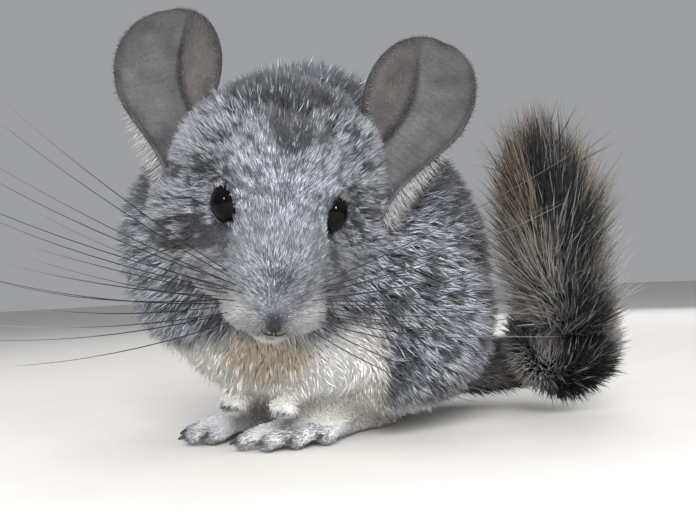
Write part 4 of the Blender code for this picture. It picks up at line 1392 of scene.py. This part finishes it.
class CHINCHILLA_OT_eyes(bpy.types.Operator):
    """Make the eyes with their corneas, and the dark rims of the lids."""

    bl_idname = "chinchilla.eyes"
    bl_label = "Eyes"

    def execute(self, context):
        for side, matrix in EYE_FRAMES.items():
            eye = add_primitive(
                "eyeball_" + side, bpy.ops.mesh.primitive_uv_sphere_add, segments=48, ring_count=32,
                radius=EYE_RADIUS)
            ball = points_of(eye.data)
            off = np.hypot(ball[:, 0], ball[:, 1])
            front = ball[:, 2] > 0.0
            ball[:, 2] += np.where(front, 0.12 * rise(5.6, 0.0, off), 0.0)
            black = np.array((0.0015, 0.0015, 0.002))
            colours = mix(black * 2.0, np.array((0.004, 0.0028, 0.0026)), rise(4.6, 3.6, off) * front)
            colours = mix(colours, black, rise(3.3, 2.6, off) * front)
            move_points(eye.data, placed(ball, matrix) * MM)
            colour_points(eye.data, colours)
            finish_piece(eye, "eye", "wet_eye", eye_material, "eye_" + side)
            self.make_rim(side, matrix)
        return {"FINISHED"}

    def make_rim(self, side, matrix):
        """The rim of the lids: a ring bent over the eyeball, as wide and tall as the opening."""
        lid = add_primitive(
            "lid_rim_" + side, bpy.ops.mesh.primitive_torus_add, major_segments=64, minor_segments=10,
            major_radius=5.0, minor_radius=0.28)
        ring = points_of(lid.data)
        angle = np.arctan2(ring[:, 1], ring[:, 0])
        out = np.hypot(ring[:, 0], ring[:, 1]) - 5.0
        wide, tall = np.arcsin(np.array(EYE_OPENING) / EYE_RADIUS)
        bend = 1.0 / np.hypot(np.cos(angle) / wide, np.sin(angle) / tall) + out / EYE_RADIUS
        away = EYE_RADIUS + 0.10 + ring[:, 2] * 0.9
        flat = away * np.sin(bend)
        local = np.stack((flat * np.cos(angle), flat * np.sin(angle), away * np.cos(bend)), axis=1)
        move_points(lid.data, placed(local, matrix) * MM)
        face_out(lid)
        finish_piece(lid, "nose_skin", "dark_bare_skin", lid_material)


class CHINCHILLA_OT_nose(bpy.types.Operator):
    """Make the nose with its nostrils, and the lower lip."""

    bl_idname = "chinchilla.nose"
    bl_label = "Nose and mouth"

    def execute(self, context):
        nose, (ahead, across, above) = self.round_ball("nose_pad", 48, 32)
        wide = 1.0 + 0.30 * rise(0.3, -0.7, above)
        shape = np.stack((1.3 * ahead, 1.35 * across * wide, 1.6 * above), axis=1)
        shape[:, 0] -= 0.5 * np.exp(-(across / 0.12) ** 2) * rise(0.5, -0.3, above)
        move_points(nose.data, from_head(shape + np.array(NOSE_PAD)) * MM)
        finish_piece(nose, "nose_skin", "dark_bare_skin", lid_material)
        lip, (ahead, across, above) = self.round_ball("lower_lip", 32, 16)
        shape = np.stack((1.8 * ahead - 1.6 * across ** 2, 3.0 * across, 0.8 * above), axis=1)
        move_points(lip.data, from_head(shape + np.array(LOWER_LIP)) * MM)
        finish_piece(lip, "nose_skin", "lip_skin", lip_material)
        for side, sign in SIDES.items():
            path = [HEAD @ Vector((x, sign * y, z)) for x, y, z in NOSTRIL]
            nostril = add_tube("nostril_" + side, path, NOSTRIL_RADII, 3)
            finish_piece(nostril, "nose_skin", "dark_bare_skin", lid_material)
        return {"FINISHED"}

    def round_ball(self, name, segments, rings):
        """A ball of radius 1 mm, and its points in the head's frame."""
        ball = add_ball(name, (0.0, 0.0, 0.0), (1.0, 1.0, 1.0), segments, rings)
        return ball, to_head(points_of(ball.data) / MM).T


class CHINCHILLA_OT_whiskers(bpy.types.Operator):
    """Make the long whiskers of both sides of the muzzle."""

    bl_idname = "chinchilla.whiskers"
    bl_label = "Whiskers"

    def execute(self, context):
        rows = 4
        count = 16
        rings = 9
        row = np.arange(count) % rows
        step = np.arange(count) // rows
        for number, (side, sign) in enumerate(SIDES.items()):
            draw = np.random.default_rng(81 + number)
            root = np.stack((29.0 + 2.7 * step, sign * (10.6 - 1.1 * step), -9.0 - 2.3 * row), axis=1)
            way = np.stack((
                -0.20 + 0.20 * step + draw.uniform(-0.05, 0.05, count), np.full(count, sign * 0.92),
                0.42 - 0.24 * row + draw.uniform(-0.06, 0.06, count)), axis=1)
            bend = np.stack((
                -0.55 + draw.uniform(-0.1, 0.1, count), np.zeros(count), -0.12 + 0.05 * row), axis=1)
            length = 92.0 - 11.0 * step + draw.uniform(-6.0, 6.0, count)
            way = unit(way) @ HEAD_TURN.T
            bend = bend @ HEAD_TURN.T
            roots = {
                "place": from_head(root), "normal": unit(np.cross(way, bend)), "lie": way,
                "unwrap": np.stack((0.1 + 0.05 * step, 0.1 + 0.05 * row), axis=1), "draw": draw,
            }
            dark = np.array((0.010, 0.010, 0.011))
            pale = np.array((0.20, 0.19, 0.19)) * draw.uniform(0.1, 1.0, (count, 1))
            colours = [mix(dark, pale, rise(0.35, 0.9, ring / rings)) for ring in range(rings + 1)]
            make_tufts(
                "whiskers_" + side, "dark_coat", roots, (length, 0.42), (0.0, 0.0), colours, rings=rings,
                thickness=0.5, curl=bend, roll=0.0)
        return {"FINISHED"}


class CHINCHILLA_OT_claws(bpy.types.Operator):
    """Give the claws of the solids their horn."""

    bl_idname = "chinchilla.claws"
    bl_label = "Claws"

    def execute(self, context):
        for name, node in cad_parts.items():
            if "_claw_" in name:
                node.data.materials.clear()
                node.data.materials.append(material("claw_horn", claw_material))
        return {"FINISHED"}


class CHINCHILLA_OT_stage(bpy.types.Operator):
    """Make the floor, the lights and the camera."""

    bl_idname = "chinchilla.stage"
    bl_label = "Stage"

    def execute(self, context):
        floor = add_primitive("floor", bpy.ops.mesh.primitive_plane_add, size=6.0)
        floor.data.materials.append(material("pale_floor", floor_material))
        world = bpy.data.worlds.new("soft_room")
        world.use_nodes = True
        background = world.node_tree.nodes["Background"]
        background.inputs["Color"].default_value = (0.80, 0.82, 0.86, 1.0)
        background.inputs["Strength"].default_value = 0.42
        context.scene.world = world
        for light in LIGHTS:
            self.add_light(*light)
        for light in CATCH_LIGHTS:
            self.add_light(*light, True)
        self.add_camera(context.scene)
        context.scene.view_settings.view_transform = "Standard"
        return {"FINISHED"}

    def add_light(self, name, place, size, power, reflected=False):
        """A square light that isn't seen in reflections, or a catch light that only shows in them."""
        light = bpy.data.lights.new(name, "AREA")
        light.size = size
        light.energy = power
        lamp = add_object(name, light)
        lamp.location = place
        lamp.visible_glossy = reflected
        lamp.visible_diffuse = not reflected
        lamp.rotation_euler = (Vector(LIGHT_AIM) - Vector(place)).to_track_quat("-Z", "Y").to_euler()

    def add_camera(self, scene):
        """The camera at the photo's place, angle and field of view."""
        data = bpy.data.cameras.new("camera")
        data.sensor_width = SENSOR_WIDTH
        data.lens = FOCAL_PIXELS / PHOTO_WIDTH * SENSOR_WIDTH
        data.clip_start = 0.01
        camera = add_object("camera", data)
        half = math.sqrt(0.5)
        pitch = math.radians(CAMERA_PITCH)
        tilt = math.radians(CAMERA_TILT)
        ahead = Vector((-half, half, 0.0)) * math.cos(pitch) + Vector((0.0, 0.0, 1.0)) * math.sin(pitch)
        right = Vector((half, half, 0.0))
        up = right.cross(ahead)
        across = right * math.cos(tilt) - up * math.sin(tilt)
        upward = right * math.sin(tilt) + up * math.cos(tilt)
        camera.matrix_world = axes_matrix(across, upward, -ahead, CAMERA_PLACE)
        scene.camera = camera


class CHINCHILLA_PT_panel(bpy.types.Panel):
    """The pieces of the chinchilla, with their sizes and colours."""

    bl_idname = "CHINCHILLA_PT_panel"
    bl_label = "Chinchilla"
    bl_space_type = "VIEW_3D"
    bl_region_type = "UI"
    bl_category = "Chinchilla"

    def draw(self, context):
        for name in CHINCHILLA_PG_settings.__annotations__:
            self.layout.prop(context.scene.chinchilla, name)
        for operator in OPERATORS:
            self.layout.operator(operator.bl_idname)


OPERATORS = (
    CHINCHILLA_OT_stage, CHINCHILLA_OT_skin, CHINCHILLA_OT_body_coat, CHINCHILLA_OT_head_coat,
    CHINCHILLA_OT_limb_coat, CHINCHILLA_OT_tail_coat, CHINCHILLA_OT_ears, CHINCHILLA_OT_eyes,
    CHINCHILLA_OT_nose, CHINCHILLA_OT_whiskers, CHINCHILLA_OT_claws,
)
CLASSES = (CHINCHILLA_PG_settings, *OPERATORS, CHINCHILLA_PT_panel)


def register():
    """Add the settings, the operators and the panel to Blender."""
    for kind in CLASSES:
        bpy.utils.register_class(kind)
    bpy.types.Scene.chinchilla = bpy.props.PointerProperty(type=CHINCHILLA_PG_settings)


def unregister():
    """Take the settings, the operators and the panel out of Blender."""
    del bpy.types.Scene.chinchilla
    for kind in reversed(CLASSES):
        bpy.utils.unregister_class(kind)


def main():
    """Make every piece."""
    register()
    for operator in OPERATORS:
        group, name = operator.bl_idname.split(".")
        getattr(getattr(bpy.ops, group), name)()


if __name__ == "__main__":
    main()
